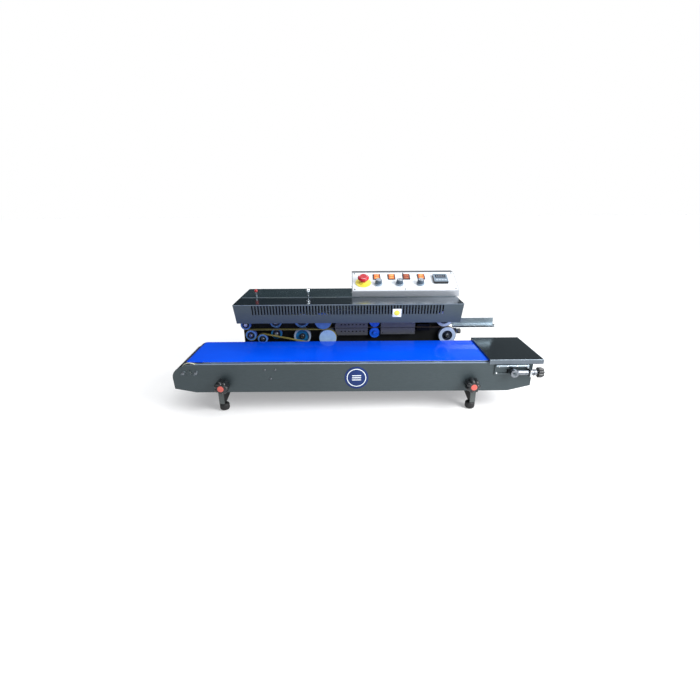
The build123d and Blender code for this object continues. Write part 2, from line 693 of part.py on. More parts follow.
for name, rod_depth in (("front", RAIL_FRONT - ROD_OFFSET), ("rear", RAIL_REAR + ROD_OFFSET)):
    with BuildPart() as takeup_knob:
        rod_x(rod_depth, ROLLER_Z, 9, KNOB_HUB_X)
        with BuildSketch(endwise(KNOB_STAR_X[0])):
            with Locations((rod_depth, ROLLER_Z)):
                Circle(11.5)
                with PolarLocations(10.5, KNOB_LOBES):
                    Circle(4.5)
        extrude(amount=KNOB_STAR_X[1] - KNOB_STAR_X[0])
        rod_x(rod_depth, ROLLER_Z, ROD_R + RUNNING, (KNOB_HUB_X[0], ROD_END + 4), mode=Mode.SUBTRACT)
    save(takeup_knob, f"takeup_knob_{name}")

# ---- legs -----------------------------------------------------------------------------------
STRAP_X = (4.5, 20.0)
STRAP_T = 3.0
STRAP_Y = (FRONT_WEB[1] + 1, FRONT_WEB[1] + 1 + STRAP_T)
STRAP_TOP = 122.0
LEG_FOOT_H = 22.0
LEG_FOOT_R = 14.0
LEG_FOOT_Y = -161.0
GUSSET_DEPTH = 66.0
GUSSET_TOP = 80.0
GUSSET_REAR_BOTTOM = 30.0
LEG_KNOB_Y = (-HALF_DEPTH, -182.0)
CAP_R = 8.8

for side_name, (axis_x, side) in LEG_AXES.items():
    inner_x = axis_x + side * STRAP_X[0]
    strap_x = sorted((inner_x, axis_x + side * STRAP_X[1]))
    with BuildPart() as leg:
        block(strap_x, STRAP_Y, (LEG_FOOT_H, STRAP_TOP))
        block(sorted((axis_x - side * 12, inner_x)), STRAP_Y, (GUSSET_TOP - 6, STRAP_TOP))
        block(strap_x, (STRAP_Y[0], STRAP_Y[0] + 24), (LEG_FOOT_H, LEG_FOOT_H + STRAP_T))
        with BuildSketch(endwise(min(inner_x, inner_x + side * STRAP_T))):
            Polygon(
                (STRAP_Y[0], LEG_FOOT_H),
                (STRAP_Y[0] + 24, LEG_FOOT_H),
                (STRAP_Y[0] + GUSSET_DEPTH, GUSSET_REAR_BOTTOM),
                (STRAP_Y[0] + GUSSET_DEPTH, GUSSET_TOP),
                (STRAP_Y[0], GUSSET_TOP),
                align=None,
            )
        extrude(amount=STRAP_T)
        with BuildSketch(upright(STRAP_Y[1])):
            with Locations((axis_x, LEG_BOLT_Z + LEG_TRAVEL / 2)):
                SlotOverall(LEG_TRAVEL + 10, 10, rotation=90)
        extrude(amount=STRAP_T, mode=Mode.SUBTRACT)
        foot_x = axis_x + side * 9
        rod_z(foot_x, LEG_FOOT_Y, 4, (LEG_FOOT_H - 2, LEG_FOOT_H + 6))
        with BuildSketch(upright(LEG_FOOT_Y)) as rubber:
            with Locations((foot_x + LEG_FOOT_R / 2, LEG_FOOT_H / 2)):
                Rectangle(LEG_FOOT_R, LEG_FOOT_H)
            fillet(rubber.vertices().group_by(Axis.X)[-1], 7)
        revolve(axis=Axis((foot_x, LEG_FOOT_Y, 0), (0, 0, 1)))
    save(leg, f"leg_{side_name}")

    with BuildPart() as leg_knob:
        with BuildSketch(upright(LEG_KNOB_Y[1])):
            with Locations((axis_x, LEG_BOLT_Z)):
                Circle(15.5)
                with PolarLocations(14.5, KNOB_LOBES):
                    Circle(6)
        extrude(amount=LEG_KNOB_Y[1] - LEG_KNOB_Y[0] - 1.5)
        rod_y(axis_x, LEG_BOLT_Z, CAP_R, (LEG_KNOB_Y[0], LEG_KNOB_Y[0] + 2))
        rod_y(axis_x, LEG_BOLT_Z, 10, (LEG_KNOB_Y[1], RAIL_FRONT - GAP))
        rod_y(axis_x, LEG_BOLT_Z, 4, (RAIL_FRONT - 1, STRAP_Y[1] + 5))
    save(leg_knob, f"leg_knob_{side_name}")

# ---- sealing head ---------------------------------------------------------------------------


def make_wheel(x, z, radius, depth, bore_r, recess):
    """Wheel with a chamfered rim, a bore, and a ring-shaped recess in its front face."""
    with BuildPart() as wheel:
        rod_y(x, z, radius, depth)
        chamfer(wheel.edges().filter_by(GeomType.CIRCLE), 0.6)
        if recess:
            with BuildSketch(upright(depth[0] + recess[2])):
                with Locations((x, z)):
                    Circle(recess[0])
                    Circle(recess[1], mode=Mode.SUBTRACT)
            extrude(amount=recess[2], mode=Mode.SUBTRACT)
        rod_y(x, z, bore_r, depth, mode=Mode.SUBTRACT)
    return wheel.part


for name, (x, radius, side, depth, recess) in WHEELS.items():
    with BuildPart() as idle_wheel:
        add(make_wheel(x, wheel_z(radius, side), radius, depth, STUD_R + RUNNING, recess))
    save(idle_wheel, name)

with BuildPart() as tension_wheel:
    tension_x, tension_z, tension_r = TENSION_WHEEL
    add(make_wheel(tension_x, tension_z, tension_r, FRONT_ROW, STUD_R + RUNNING, (11.0, 6.5, 3.0)))
save(tension_wheel, "tension_wheel")

for name, (x, side) in DRIVEN.items():
    with BuildPart() as driven_wheel:
        axis_z = wheel_z(DRIVEN_R, side)
        rod_y(x, axis_z, DRIVEN_R, DRIVEN_ROW)
        chamfer(driven_wheel.edges().filter_by(GeomType.CIRCLE), 0.8)
        rod_y(x, axis_z, SHAFT_R, (DRIVEN_ROW[1], GEAR_Y[1] + 12))
    save(driven_wheel, f"wheel_4_{name}")

PRESSURE_ANGLE = 20 * pi / 180
ADDENDUM = 0.9
DEDENDUM = 1.25
TOOTH_SHARE = 0.44


def tooth_points(teeth, module):
    """Corner points of one involute tooth, standing up along +Y, from its right root to its left."""
    pitch_r = teeth * module / 2
    base_r = pitch_r * cos(PRESSURE_ANGLE)
    tip_r = pitch_r + ADDENDUM * module
    root_r = pitch_r - DEDENDUM * module
    pitch_roll = (pitch_r**2 / base_r**2 - 1) ** 0.5
    pitch_angle = pitch_roll - atan2(pitch_roll, 1)
    half_tooth = TOOTH_SHARE * pi / teeth
    flank = [(root_r, half_tooth + pitch_angle)]
    for share in (0, 0.35, 0.7, 1):
        radius = max(root_r, base_r) + share * (tip_r - max(root_r, base_r))
        roll = max(radius**2 / base_r**2 - 1, 0) ** 0.5
        flank.append((radius, half_tooth + pitch_angle - (roll - atan2(roll, 1))))
    right = [(r * sin(a), r * cos(a)) for r, a in flank if a > 0]
    left = [(-x, y) for x, y in reversed(right)]
    return right + left, root_r


def drive_gear(x, z, first_tooth):
    """Spur gear on its shaft, with its first tooth pointing at the given angle in degrees."""
    outline, root_r = tooth_points(GEAR_TEETH, GEAR_MODULE)
    with BuildPart() as gear:
        with BuildSketch(upright(GEAR_Y[1])):
            with Locations((x, z)):
                Circle(root_r + 0.1)
                for number in range(GEAR_TEETH):
                    with Locations(Location((0, 0), first_tooth - 90 + number * 360 / GEAR_TEETH)):
                        Polygon(*outline, align=None)
                Circle(SHAFT_R, mode=Mode.SUBTRACT)
                with PolarLocations(17, 5):
                    Circle(5, mode=Mode.SUBTRACT)
        extrude(amount=GEAR_Y[1] - GEAR_Y[0])
    return gear.part


lower_axis = (DRIVEN["lower"][0], wheel_z(DRIVEN_R, -1))
upper_axis = (DRIVEN["upper"][0], wheel_z(DRIVEN_R, 1))
mesh_angle = atan2(upper_axis[1] - lower_axis[1], upper_axis[0] - lower_axis[0]) * 180 / pi

with BuildPart() as drive_gear_lower:
    add(drive_gear(*lower_axis, mesh_angle))
save(drive_gear_lower, "drive_gear_lower")

with BuildPart() as drive_gear_upper:
    add(drive_gear(*upper_axis, mesh_angle + 180 + 180 / GEAR_TEETH))
save(drive_gear_upper, "drive_gear_upper")


def rim(name):
    """One wheel of the sealing line as a pulley inside a belt loop."""
    x, radius, side, _, _ = WHEELS[name]
    return (x, wheel_z(radius, side), radius, 1)


upper_driven = (*upper_axis, DRIVEN_R, 1)
lower_driven = (*lower_axis, DRIVEN_R, 1)
SEALING_Y = (52.5, 67.5)
GUIDE_BELT_Y = (33.0, 46.0)

with BuildPart() as sealing_bands:
    add(belt([upper_driven, rim("wheel_6_upper")], SEALING_Y, BAND_T, GAP))
    add(belt([lower_driven, rim("wheel_6_lower")], SEALING_Y, BAND_T, GAP))
save(sealing_bands, "sealing_bands")

with BuildPart() as guide_belts:
    add(belt([rim("wheel_1_upper"), upper_driven], GUIDE_BELT_Y, BAND_T, GAP))
    lower_loop = [lower_driven, rim("wheel_1_lower"), (tension_x, tension_z, tension_r, -1)]
    add(belt(lower_loop, GUIDE_BELT_Y, BAND_T, GAP))
save(guide_belts, "guide_belts")

HEAD_R = 5.5
HEAD_T = 4.0
WASHER_R = 7.0
STUD_COLLAR_R = 8.0
END_PLAY = 0.4

with BuildPart() as wheel_arbors:
    places = [(x, wheel_z(radius, side), depth) for x, radius, side, depth, _ in WHEELS.values()]
    places.append((tension_x, tension_z, FRONT_ROW))
    for x, z, depth in places:
        rod_y(x, z, STUD_R, (depth[0] - END_PLAY, WALL_Y[0]))
        rod_y(x, z, STUD_COLLAR_R, (depth[1] + END_PLAY, WALL_Y[0]))
        rod_y(x, z, WASHER_R - 1, (depth[0] - END_PLAY - 1, depth[0] - END_PLAY))
        with BuildSketch(upright(depth[0] - END_PLAY - 1)):
            with Locations((x, z)):
                RegularPolygon(HEAD_R, 6)
        extrude(amount=HEAD_T)
    for x, side in DRIVEN.values():
        z = wheel_z(DRIVEN_R, side)
        rod_y(x, z, BUSH_R, (WALL_Y[0], WALL_Y[1] + 3))
        rod_y(x, z, SHAFT_R + RUNNING, (WALL_Y[0], WALL_Y[1] + 3), mode=Mode.SUBTRACT)
save(wheel_arbors, "wheel_arbors")

TENSION_EAR_X = (333.5, 336.5)
TENSION_AXIS = (60.0, 166.0)

with BuildPart() as band_tension_bracket:
    block((285, 336.5), (70, WALL_Y[0]), (162, 173))
    block(TENSION_EAR_X, (53, WALL_Y[0]), (159, 173))
    rod_x(*TENSION_AXIS, 3 + RUNNING, TENSION_EAR_X, mode=Mode.SUBTRACT)

with BuildPart() as band_tension_knob:
    rod_x(*TENSION_AXIS, 3, (331.8, 341))
    rod_x(*TENSION_AXIS, 8.5, (337, 348))
    chamfer(band_tension_knob.edges().filter_by(GeomType.CIRCLE).sort_by(Axis.X)[-1], 1.2)
save(band_tension_knob, "band_tension_knob")

# Heating, cooling and guide blocks, each as a pair above and below the bands.
COOLING_X = (-67.7, 39.4)
HEATING_X = (82.4, 194.4)
BAR_X = (202.4, 242.4)
COOLING_HALF = 24.5
HEATING_HALF = 22.0
BAR_Z = (3.0, 11.0)
BLOCK_Y = (50.0, 72.0)
SHIELD_Y = (46.5, 48.0)

with BuildPart() as seal_blocks:
    for x, half in ((COOLING_X, COOLING_HALF), (HEATING_X, HEATING_HALF)):
        span = (x[0] + 9, x[1] - 3)
        block(span, BLOCK_Y, (SEAL_Z + NIP, SEAL_Z + half - 4))
        block(span, BLOCK_Y, (SEAL_Z - half + 4, SEAL_Z - NIP))
    for low, high in ((BAR_Z[0], BAR_Z[1]), (-BAR_Z[1], -BAR_Z[0])):
        block(BAR_X, BLOCK_Y, (SEAL_Z + low, SEAL_Z + high))
save(seal_blocks, "seal_blocks")

SEAM = 0.8
VENT_HOLE_R = 2.6
VENT_HOLE_PITCH = 12.3
VENT_HOLE_ROW = 11.5
CUT_CORNER = (8.0, 15.0)

with BuildPart() as block_guards:
    for x, half in ((COOLING_X, COOLING_HALF), (HEATING_X, HEATING_HALF)):
        for up in (1, -1):
            plate_z = sorted((SEAL_Z + up * SEAM, SEAL_Z + up * half))
            edge_z = sorted((SEAL_Z + up * (half - SHEET), SEAL_Z + up * half))
            block(x, SHIELD_Y, plate_z)
            block(x, (SHIELD_Y[0], WALL_Y[0]), edge_z)
    with BuildSketch(upright(SHIELD_Y[1])):
        for row in (VENT_HOLE_ROW, -VENT_HOLE_ROW):
            with Locations(((COOLING_X[0] + COOLING_X[1]) / 2 + 4, SEAL_Z + row)):
                with GridLocations(VENT_HOLE_PITCH, 1, 7, 1):
                    Circle(VENT_HOLE_R)
    extrude(amount=SHEET, mode=Mode.SUBTRACT)
    with BuildSketch(upright(WALL_Y[0])):
        for up in (1, -1):
            corner_z = SEAL_Z + up * COOLING_HALF
            Polygon(
                (COOLING_X[0], corner_z),
                (COOLING_X[0] + CUT_CORNER[0], corner_z),
                (COOLING_X[0], corner_z - up * CUT_CORNER[1]),
                align=None,
            )
    extrude(amount=WALL_Y[0] - SHIELD_Y[0], mode=Mode.SUBTRACT)
save(block_guards, "block_guards")

LIP_X = (320.0, 459.0)
LIP_Y = (54.0, 71.0)
BACK_X = (299.0, 456.0)

with BuildPart() as infeed_guide:
    block(BACK_X, (70.2, WALL_Y[0]), (SEAL_Z + 4.5, 208))
    block((TENSION_EAR_X[1] + 3, BACK_X[1]), (70.2, WALL_Y[0]), (SEAL_Z - 3.5, SEAL_Z + 5))
    block(LIP_X, LIP_Y, (SEAL_Z + 3, SEAL_Z + 4.5))
    block(LIP_X, LIP_Y, (SEAL_Z - 2.5, SEAL_Z - 1.5))
    add(band_tension_bracket.part)
save(infeed_guide, "infeed_guide")

# ---- drive ----------------------------------------------------------------------------------
GEARBOX_Y = (GEAR_Y[1] + 2, 158.0)
MOTOR_Y = 126.0
MOTOR_R = 35.0

with BuildPart() as gear_motor:
    block((lower_axis[0] - 36, lower_axis[0] + 36), GEARBOX_Y, (lower_axis[1] - 42, lower_axis[1] + 40))
    rod_x(MOTOR_Y, lower_axis[1], MOTOR_R, (lower_axis[0] + 36, lower_axis[0] + 170))
    rod_y(*lower_axis, SHAFT_R + RUNNING, (GEARBOX_Y[0], GEARBOX_Y[0] + 14), mode=Mode.SUBTRACT)
    motor_foot = (lower_axis[0] - 40, lower_axis[0] + 40)
    block(motor_foot, (104, 154), (FLOOR_GAP + PLATE, FLOOR_GAP + 2 * PLATE))
    block((lower_axis[0] - 30, lower_axis[0] + 30), (108, 150), (FLOOR_GAP + PLATE, lower_axis[1] - 41))
save(gear_motor, "gear_motor")

# ---- fasteners ------------------------------------------------------------------------------
PANEL_SCREWS_X = (BOX_X[0] + 9, PANEL_CENTRE[0], BOX_X[1] - 9)
PANEL_SCREWS_S = (9.0, SLOPE_LENGTH - 9)
RAIL_SCREWS = ((-259.7, 131.0), (-229.7, 131.0), (-244.7, 104.0))
BEARING_BOLTS = ((DRIVE_X - 18, 122.0), (DRIVE_X + 18, 122.0))
GUARD_SCREWS = ((90.0, 166.0), (186.0, 166.0), (90.0, 199.0), (186.0, 199.0))

with BuildPart() as fasteners:
    with BuildSketch(panel_plane(PANEL_T)):
        with Locations(*[(x, s) for x in PANEL_SCREWS_X for s in PANEL_SCREWS_S]):
            Circle(2.6)
    extrude(amount=1.4)
    with BuildSketch(upright(RAIL_FRONT)):
        with Locations(*RAIL_SCREWS):
            Circle(3)
        with Locations(*BEARING_BOLTS):
            Circle(4.5)
    extrude(amount=2)
    with BuildSketch(upright(SHIELD_Y[0])):
        with Locations(*GUARD_SCREWS):
            Circle(2.2)
    extrude(amount=1.4)
save(fasteners, "fasteners")
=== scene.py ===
import json
from math import atan2, cos, hypot, pi, radians, sin

import bmesh
import bpy
from mathutils import Matrix, Vector


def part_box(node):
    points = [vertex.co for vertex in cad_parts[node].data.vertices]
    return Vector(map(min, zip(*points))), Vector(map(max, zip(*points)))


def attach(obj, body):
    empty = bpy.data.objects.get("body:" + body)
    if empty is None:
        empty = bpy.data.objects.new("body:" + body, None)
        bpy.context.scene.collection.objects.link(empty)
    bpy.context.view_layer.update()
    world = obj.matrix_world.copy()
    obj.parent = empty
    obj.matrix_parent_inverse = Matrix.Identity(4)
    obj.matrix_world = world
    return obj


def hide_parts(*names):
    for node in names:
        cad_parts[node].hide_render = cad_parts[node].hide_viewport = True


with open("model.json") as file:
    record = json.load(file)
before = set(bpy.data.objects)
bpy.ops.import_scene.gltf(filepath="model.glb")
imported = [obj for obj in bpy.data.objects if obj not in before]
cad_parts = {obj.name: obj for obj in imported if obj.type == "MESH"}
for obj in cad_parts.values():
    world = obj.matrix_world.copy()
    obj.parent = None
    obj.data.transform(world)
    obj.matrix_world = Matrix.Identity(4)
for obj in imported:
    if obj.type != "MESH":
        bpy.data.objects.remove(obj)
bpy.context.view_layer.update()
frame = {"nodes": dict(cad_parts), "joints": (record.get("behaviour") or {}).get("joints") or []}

# Looks of the continuous band sealer. Metres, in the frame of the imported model: +X along the
# conveyor, -Y the operator's side, +Z up, floor at z = 0. Lengths in mm are scaled by MM.
MM = 0.001
RIGHT = Vector((1, 0, 0))
BACK = Vector((0, 1, 0))
UP = Vector((0, 0, 1))
NODES = frame["nodes"]
PIVOT = {j["name"]: Vector(j["pos_m"]) for j in frame["joints"] if "pos_m" in j}
PANEL_NORMAL = -Vector(next(j["axis"] for j in frame["joints"] if j["name"] == "dial_1_turn"))
PANEL_UP = PANEL_NORMAL.cross(RIGHT)


# ---- materials ------------------------------------------------------------------------------
def linear(red, green, blue):
    """Scene-linear colour from display values of 0 to 255."""
    shares = [value / 255 for value in (red, green, blue)]
    return (*[s / 12.92 if s <= 0.04045 else ((s + 0.055) / 1.055) ** 2.4 for s in shares], 1.0)


class Surface:
    """A procedural material around one Principled shader, and the record slot it belongs to."""

    def __init__(self, name, slot, metallic=0.0, coat=0.0, coat_roughness=0.1, ior=1.5):
        self.slot = slot
        self.material = bpy.data.materials.new(name)
        self.material.use_nodes = True
        self.nodes = self.material.node_tree.nodes
        self.shader = self.nodes["Principled BSDF"]
        self.shader.inputs["Metallic"].default_value = metallic
        self.shader.inputs["Coat Weight"].default_value = coat
        self.shader.inputs["Coat Roughness"].default_value = coat_roughness
        self.shader.inputs["IOR"].default_value = ior
        self.place = self.nodes.new("ShaderNodeTexCoord").outputs["Object"]
        self.normal = None

    def link(self, source, target):
        self.material.node_tree.links.new(source, target)

    def noise(self, scale, stretch=(1, 1, 1), detail=4.0):
        """Fractal noise with this many features per metre, stretched along the axes."""
        mapping = self.nodes.new("ShaderNodeMapping")
        mapping.inputs["Scale"].default_value = [scale * share for share in stretch]
        texture = self.nodes.new("ShaderNodeTexNoise")
        texture.inputs["Scale"].default_value = 1.0
        texture.inputs["Detail"].default_value = detail
        self.link(self.place, mapping.inputs["Vector"])
        self.link(mapping.outputs["Vector"], texture.inputs["Vector"])
        return texture.outputs["Fac"]

    def ribs(self, pitch, direction):
        """Regular ridges this far apart in metres, counted along the X, Y or Z direction."""
        texture = self.nodes.new("ShaderNodeTexWave")
        texture.bands_direction = direction
        texture.inputs["Scale"].default_value = 0.314159 / pitch
        self.link(self.place, texture.inputs["Vector"])
        return texture.outputs["Fac"]

    def weave(self, pitch):
        """Crossed ridges of a woven cloth."""
        return self.join("MULTIPLY", self.ribs(pitch, "X"), self.ribs(pitch, "Y"))

    def join(self, operation, first, second):
        node = self.nodes.new("ShaderNodeMath")
        node.operation = operation
        for number, value in enumerate((first, second)):
            if isinstance(value, (int, float)):
                node.inputs[number].default_value = value
            else:
                self.link(value, node.inputs[number])
        return node.outputs[0]

    def span(self, value, low, high, start=0.3, end=0.7):
        """value, cut to start..end, mapped to low..high."""
        node = self.nodes.new("ShaderNodeMapRange")
        self.link(value, node.inputs["Value"])
        node.inputs["From Min"].default_value = start
        node.inputs["From Max"].default_value = end
        node.inputs["To Min"].default_value = low
        node.inputs["To Max"].default_value = high
        return node.outputs["Result"]

    def blend(self, share, first, second):
        """Colour between first and second; either may be a colour or another blend's output."""
        node = self.nodes.new("ShaderNodeMix")
        node.data_type = "RGBA"
        self.link(share, node.inputs["Factor"])
        for socket, value in ((node.inputs[6], first), (node.inputs[7], second)):
            if isinstance(value, tuple):
                socket.default_value = value
            else:
                self.link(value, socket)
        return node.outputs[2]

    def relief(self, height, distance, strength=1.0):
        """Adds small relief of this depth in metres to the surface."""
        node = self.nodes.new("ShaderNodeBump")
        node.inputs["Strength"].default_value = strength
        node.inputs["Distance"].default_value = distance
        self.link(height, node.inputs["Height"])
        if self.normal is not None:
            self.link(self.normal, node.inputs["Normal"])
        self.normal = node.outputs["Normal"]

    def round_edges(self, radius):
        """Rounds sharp edges in the shading and returns a mask that is 1 along them."""
        bevel = self.nodes.new("ShaderNodeBevel")
        bevel.samples = 4
        bevel.inputs["Radius"].default_value = radius
        geometry = self.nodes.new("ShaderNodeNewGeometry")
        dot = self.nodes.new("ShaderNodeVectorMath")
        dot.operation = "DOT_PRODUCT"
        self.link(bevel.outputs["Normal"], dot.inputs[0])
        self.link(geometry.outputs["Normal"], dot.inputs[1])
        self.normal = bevel.outputs["Normal"]
        return self.span(dot.outputs["Value"], 1.0, 0.0, 0.75, 0.99)

    def finish(self, colour, roughness):
        self.link(colour, self.shader.inputs["Base Color"])
        self.link(roughness, self.shader.inputs["Roughness"])
        if self.normal is not None:
            self.link(self.normal, self.shader.inputs["Normal"])
        return self


def brushed(name, slot, dark, light, edge, rough, metallic=1.0, depth=0.00002, smudge=0.03):
    """Rolled and brushed sheet: long grain along X, faint smudges, bright worn edges."""
    steel = Surface(name, slot, metallic=metallic)
    mask = steel.round_edges(0.9 * MM)
    lines = steel.noise(70, (1, 18, 18), 6.0)
    clouds = steel.noise(9, (1, 1, 1), 3.0)
    tint = steel.blend(steel.span(lines, 0.0, 1.0), dark, light)
    tint = steel.blend(steel.span(clouds, 0.0, 0.2), tint, dark)
    tint = steel.blend(steel.join("MULTIPLY", mask, 0.7), tint, edge)
    steel.relief(lines, depth, 0.35)
    streaks = steel.span(lines, -0.04, 0.04)
    polish = steel.join("ADD", streaks, steel.span(clouds, rough - smudge, rough + smudge))
    return steel.finish(tint, polish)


def moulded(name, slot, dark, light, rough, grain=900, depth=0.00003, ior=1.5, coat=0.0):
    """Moulded or painted surface: fine grain, faint blotches, softened edges."""
    plastic = Surface(name, slot, ior=ior, coat=coat)
    mask = plastic.round_edges(0.5 * MM)
    fine = plastic.noise(grain, (1, 1, 1), 3.0)
    clouds = plastic.noise(30, (1, 1, 1), 4.0)
    tint = plastic.blend(plastic.span(clouds, 0.0, 1.0), dark, light)
    tint = plastic.blend(plastic.join("MULTIPLY", mask, 0.35), tint, light)
    plastic.relief(fine, depth, 0.4)
    return plastic.finish(tint, plastic.span(clouds, rough - 0.06, rough + 0.06))


def cast_metal(name, slot, dark, light, rough, ridge=None, depth=0.00005):
    """Turned, plated or milled metal, with tool marks and slight staining."""
    metal = Surface(name, slot, metallic=1.0)
    mask = metal.round_edges(0.4 * MM)
    stains = metal.noise(160, (1, 1, 1), 4.0)
    marks = metal.noise(1500, (1, 1, 1), 2.0) if ridge is None else metal.ribs(*ridge)
    tint = metal.blend(metal.span(stains, 0.0, 1.0), dark, light)
    tint = metal.blend(metal.join("MULTIPLY", mask, 0.5), tint, light)
    metal.relief(marks, depth, 0.3)
    return metal.finish(tint, metal.span(stains, rough - 0.05, rough + 0.05))


RAIL_STEEL = brushed(
    "rail_steel", "dark_stainless",
    linear(50, 61, 65), linear(60, 71, 75), linear(122, 133, 140),
    0.44, 0.28,
)
TABLE_STEEL = brushed(
    "table_steel", "dark_stainless",
    linear(71, 84, 88), linear(83, 95, 100), linear(190, 198, 206),
    0.2,
)
# Lighter copy of the table steel for the lip's front, back and end faces: painted reflection.
LIP_REFLECTION_STEEL = brushed(
    "table_lip_painted_reflection", "dark_stainless",
    linear(90, 98, 106), linear(104, 112, 120), linear(180, 190, 198),
    0.34,
)
# Much lighter copy of the dark stainless for the lid's top: painted sheen.
LID_SHEEN_STEEL = brushed(
    "lid_painted_sheen", "dark_stainless",
    linear(140, 163, 169), linear(154, 177, 183), linear(198, 212, 218),
    0.22,
)
# Lighter copy of the dark stainless for the guard's top flange and the lid's hinge strip: painted
# highlight.
FLANGE_HIGHLIGHT_STEEL = brushed(
    "flange_painted_highlight", "dark_stainless",
    linear(104, 116, 126), linear(118, 130, 140), linear(190, 200, 206),
    0.18,
)
GUARD_STEEL = brushed(
    "guard_steel", "dark_stainless",
    linear(62, 73, 76), linear(74, 85, 88), linear(132, 143, 150),
    0.42, 0.3,
)
# Light copy of the dark stainless for the rails' top faces and the rounded folds: painted highlight.
HIGHLIGHT_STEEL = brushed(
    "painted_highlight_steel", "dark_stainless",
    linear(132, 147, 160), linear(150, 165, 178), linear(200, 212, 220),
    0.4, 0.35,
)
BOX_STEEL = brushed(
    "box_steel", "dark_stainless",
    linear(160, 164, 171), linear(182, 186, 192), linear(232, 234, 238),
    0.32, 0.8,
)
GUIDE_STEEL = brushed(
    "guide_steel", "steel",
    linear(136, 149, 158), linear(160, 172, 180), linear(222, 228, 232),
    0.3,
)
SHIELD_STEEL = brushed(
    "shield_steel", "dark_stainless",
    linear(88, 90, 94), linear(104, 106, 110), linear(150, 152, 158),
    0.45, 0.4,
)
STEEL = cast_metal("turned_steel", "steel", linear(150, 154, 158), linear(196, 200, 204), 0.28)
STEEL_GREY = cast_metal("machined_grey", "chrome", linear(96, 100, 106), linear(132, 137, 144), 0.3)
DARK_BOLT = cast_metal("oxide_bolt", "steel", linear(58, 66, 70), linear(104, 114, 120), 0.34)
CHROME = cast_metal("chrome_plate", "chrome", linear(205, 208, 212), linear(238, 240, 243), 0.1)
ALUMINIUM = cast_metal(
    "anodised_block", "aluminium", linear(20, 21, 24), linear(34, 36, 40), 0.5, (0.6 * MM, "X")
)
SILVER_CAP = cast_metal("silver_cap", "aluminium", linear(150, 158, 168), linear(186, 194, 204), 0.3)
GEARBOX = moulded(
    "motor_paint", "motor_grey", linear(92, 98, 104), linear(112, 118, 124), 0.45, 700, 0.00008
)
BLACK_PAINT = moulded(
    "black_paint", "black_paint", linear(7, 9, 11), linear(15, 18, 21), 0.6, 500, 0.00006, ior=1.35
)
# Lighter grey for the legs' front faces: painted light.
LEG_FRONT_LIT_GREY = moulded(
    "leg_front_painted_light", "black_paint", linear(60, 66, 66), linear(78, 84, 84), 0.45, 500, 0.00006
)
WHITE_PANEL = moulded(
    "white_panel", "white_panel", linear(214, 220, 227), linear(224, 229, 234), 0.36, 1200, 0.00002
)
BLACK_PLASTIC = moulded("black_plastic", "black_plastic", linear(16, 18, 20), linear(32, 35, 38), 0.34)
BEZEL = moulded("rocker_bezel", "black_plastic", linear(46, 26, 18), linear(68, 40, 28), 0.36)
DARK_GLASS = moulded(
    "display_window", "black_plastic", linear(2, 6, 22), linear(6, 12, 34), 0.5, 300, 0.00001, 1.1
)
RUBBER = moulded(
    "black_rubber", "black_rubber", linear(12, 12, 13), linear(28, 28, 30), 0.62, 1400, 0.00008
)
RED = moulded("red_plastic", "red_plastic", linear(166, 6, 26), linear(192, 16, 42), 0.34, coat=0.1)
BALL_RED = moulded("ball_red", "red_plastic", linear(150, 18, 24), linear(176, 34, 38), 0.24, coat=0.3)
CAP_RED = moulded("cap_red", "red_plastic", linear(188, 76, 66), linear(208, 100, 90), 0.4)
YELLOW = moulded("yellow_plastic", "yellow_plastic", linear(232, 220, 70), linear(242, 230, 100), 0.45)
DIAL_GREY = moulded("dial_grey", "dial_grey", linear(42, 58, 74), linear(72, 90, 108), 0.3, 600, 0.00005)
SKIRT_GREY = moulded("dial_skirt", "dial_grey", linear(112, 130, 148), linear(142, 160, 178), 0.32)
CASE_GREY = moulded("controller_case", "dial_grey", linear(104, 120, 136), linear(122, 138, 152), 0.4)
KEY_GREY = moulded("controller_key", "dial_grey", linear(176, 188, 200), linear(198, 208, 218), 0.4)
CREAM = moulded("roller_cover", "ptfe_band", linear(206, 206, 176), linear(226, 226, 200), 0.5)
BADGE_BLUE = moulded(
    "badge_blue", "conveyor_blue", linear(14, 38, 92), linear(22, 50, 108), 0.5, ior=1.35
)
LABEL_WHITE = moulded("label_white", "white_panel", linear(222, 232, 238), linear(238, 244, 247), 0.45)


def lit_amber(name, dark, light, glow):
    """Translucent switch cap with a lamp behind it: brighter in the middle of each noise cell."""
    amber = Surface(name, "amber_plastic", coat=0.1)
    amber.round_edges(0.5 * MM)
    clouds = amber.noise(120, (1, 1, 1), 3.0)
    tint = amber.blend(amber.span(clouds, 0.0, 1.0), dark, light)
    amber.link(tint, amber.shader.inputs["Emission Color"])
    amber.shader.inputs["Emission Strength"].default_value = glow
    amber.relief(amber.noise(900, (1, 1, 1), 2.0), 0.00003, 0.4)
    return amber.finish(tint, amber.span(clouds, 0.22, 0.34))


AMBER = lit_amber("amber_cap", linear(190, 84, 30), linear(220, 116, 52), 0.1)
AMBER_LENS = lit_amber("amber_lens", linear(224, 134, 66), linear(236, 162, 92), 0.18)
# The switched-off cap and lens still glow faintly: painted glow.
AMBER_OFF = lit_amber("amber_cap_off", linear(116, 40, 22), linear(148, 62, 34), 0.04)
AMBER_OFF_LENS = lit_amber("amber_lens_off", linear(154, 80, 46), linear(176, 98, 60), 0.06)


def belt_surface():
    """Glossy blue PVC belting: faint cloth under the gloss, scuffs along the run."""
    belt = Surface("blue_belting", "conveyor_blue", coat=0.6, coat_roughness=0.04, ior=1.15)
    cloth = belt.weave(1.4 * MM)
    clouds = belt.noise(7, (0.6, 1.6, 1), 3.0)
    scuffs = belt.noise(60, (0.4, 14, 1), 5.0)
    tint = belt.blend(belt.span(clouds, 0.0, 1.0), linear(0, 70, 218), linear(0, 82, 234))
    tint = belt.blend(belt.span(scuffs, 0.0, 0.12, 0.62, 0.8), tint, linear(24, 104, 245))
    belt.relief(cloth, 0.00002, 0.1)
    belt.relief(scuffs, 0.00002, 0.15)
    return belt.finish(tint, belt.span(scuffs, 0.34, 0.46))


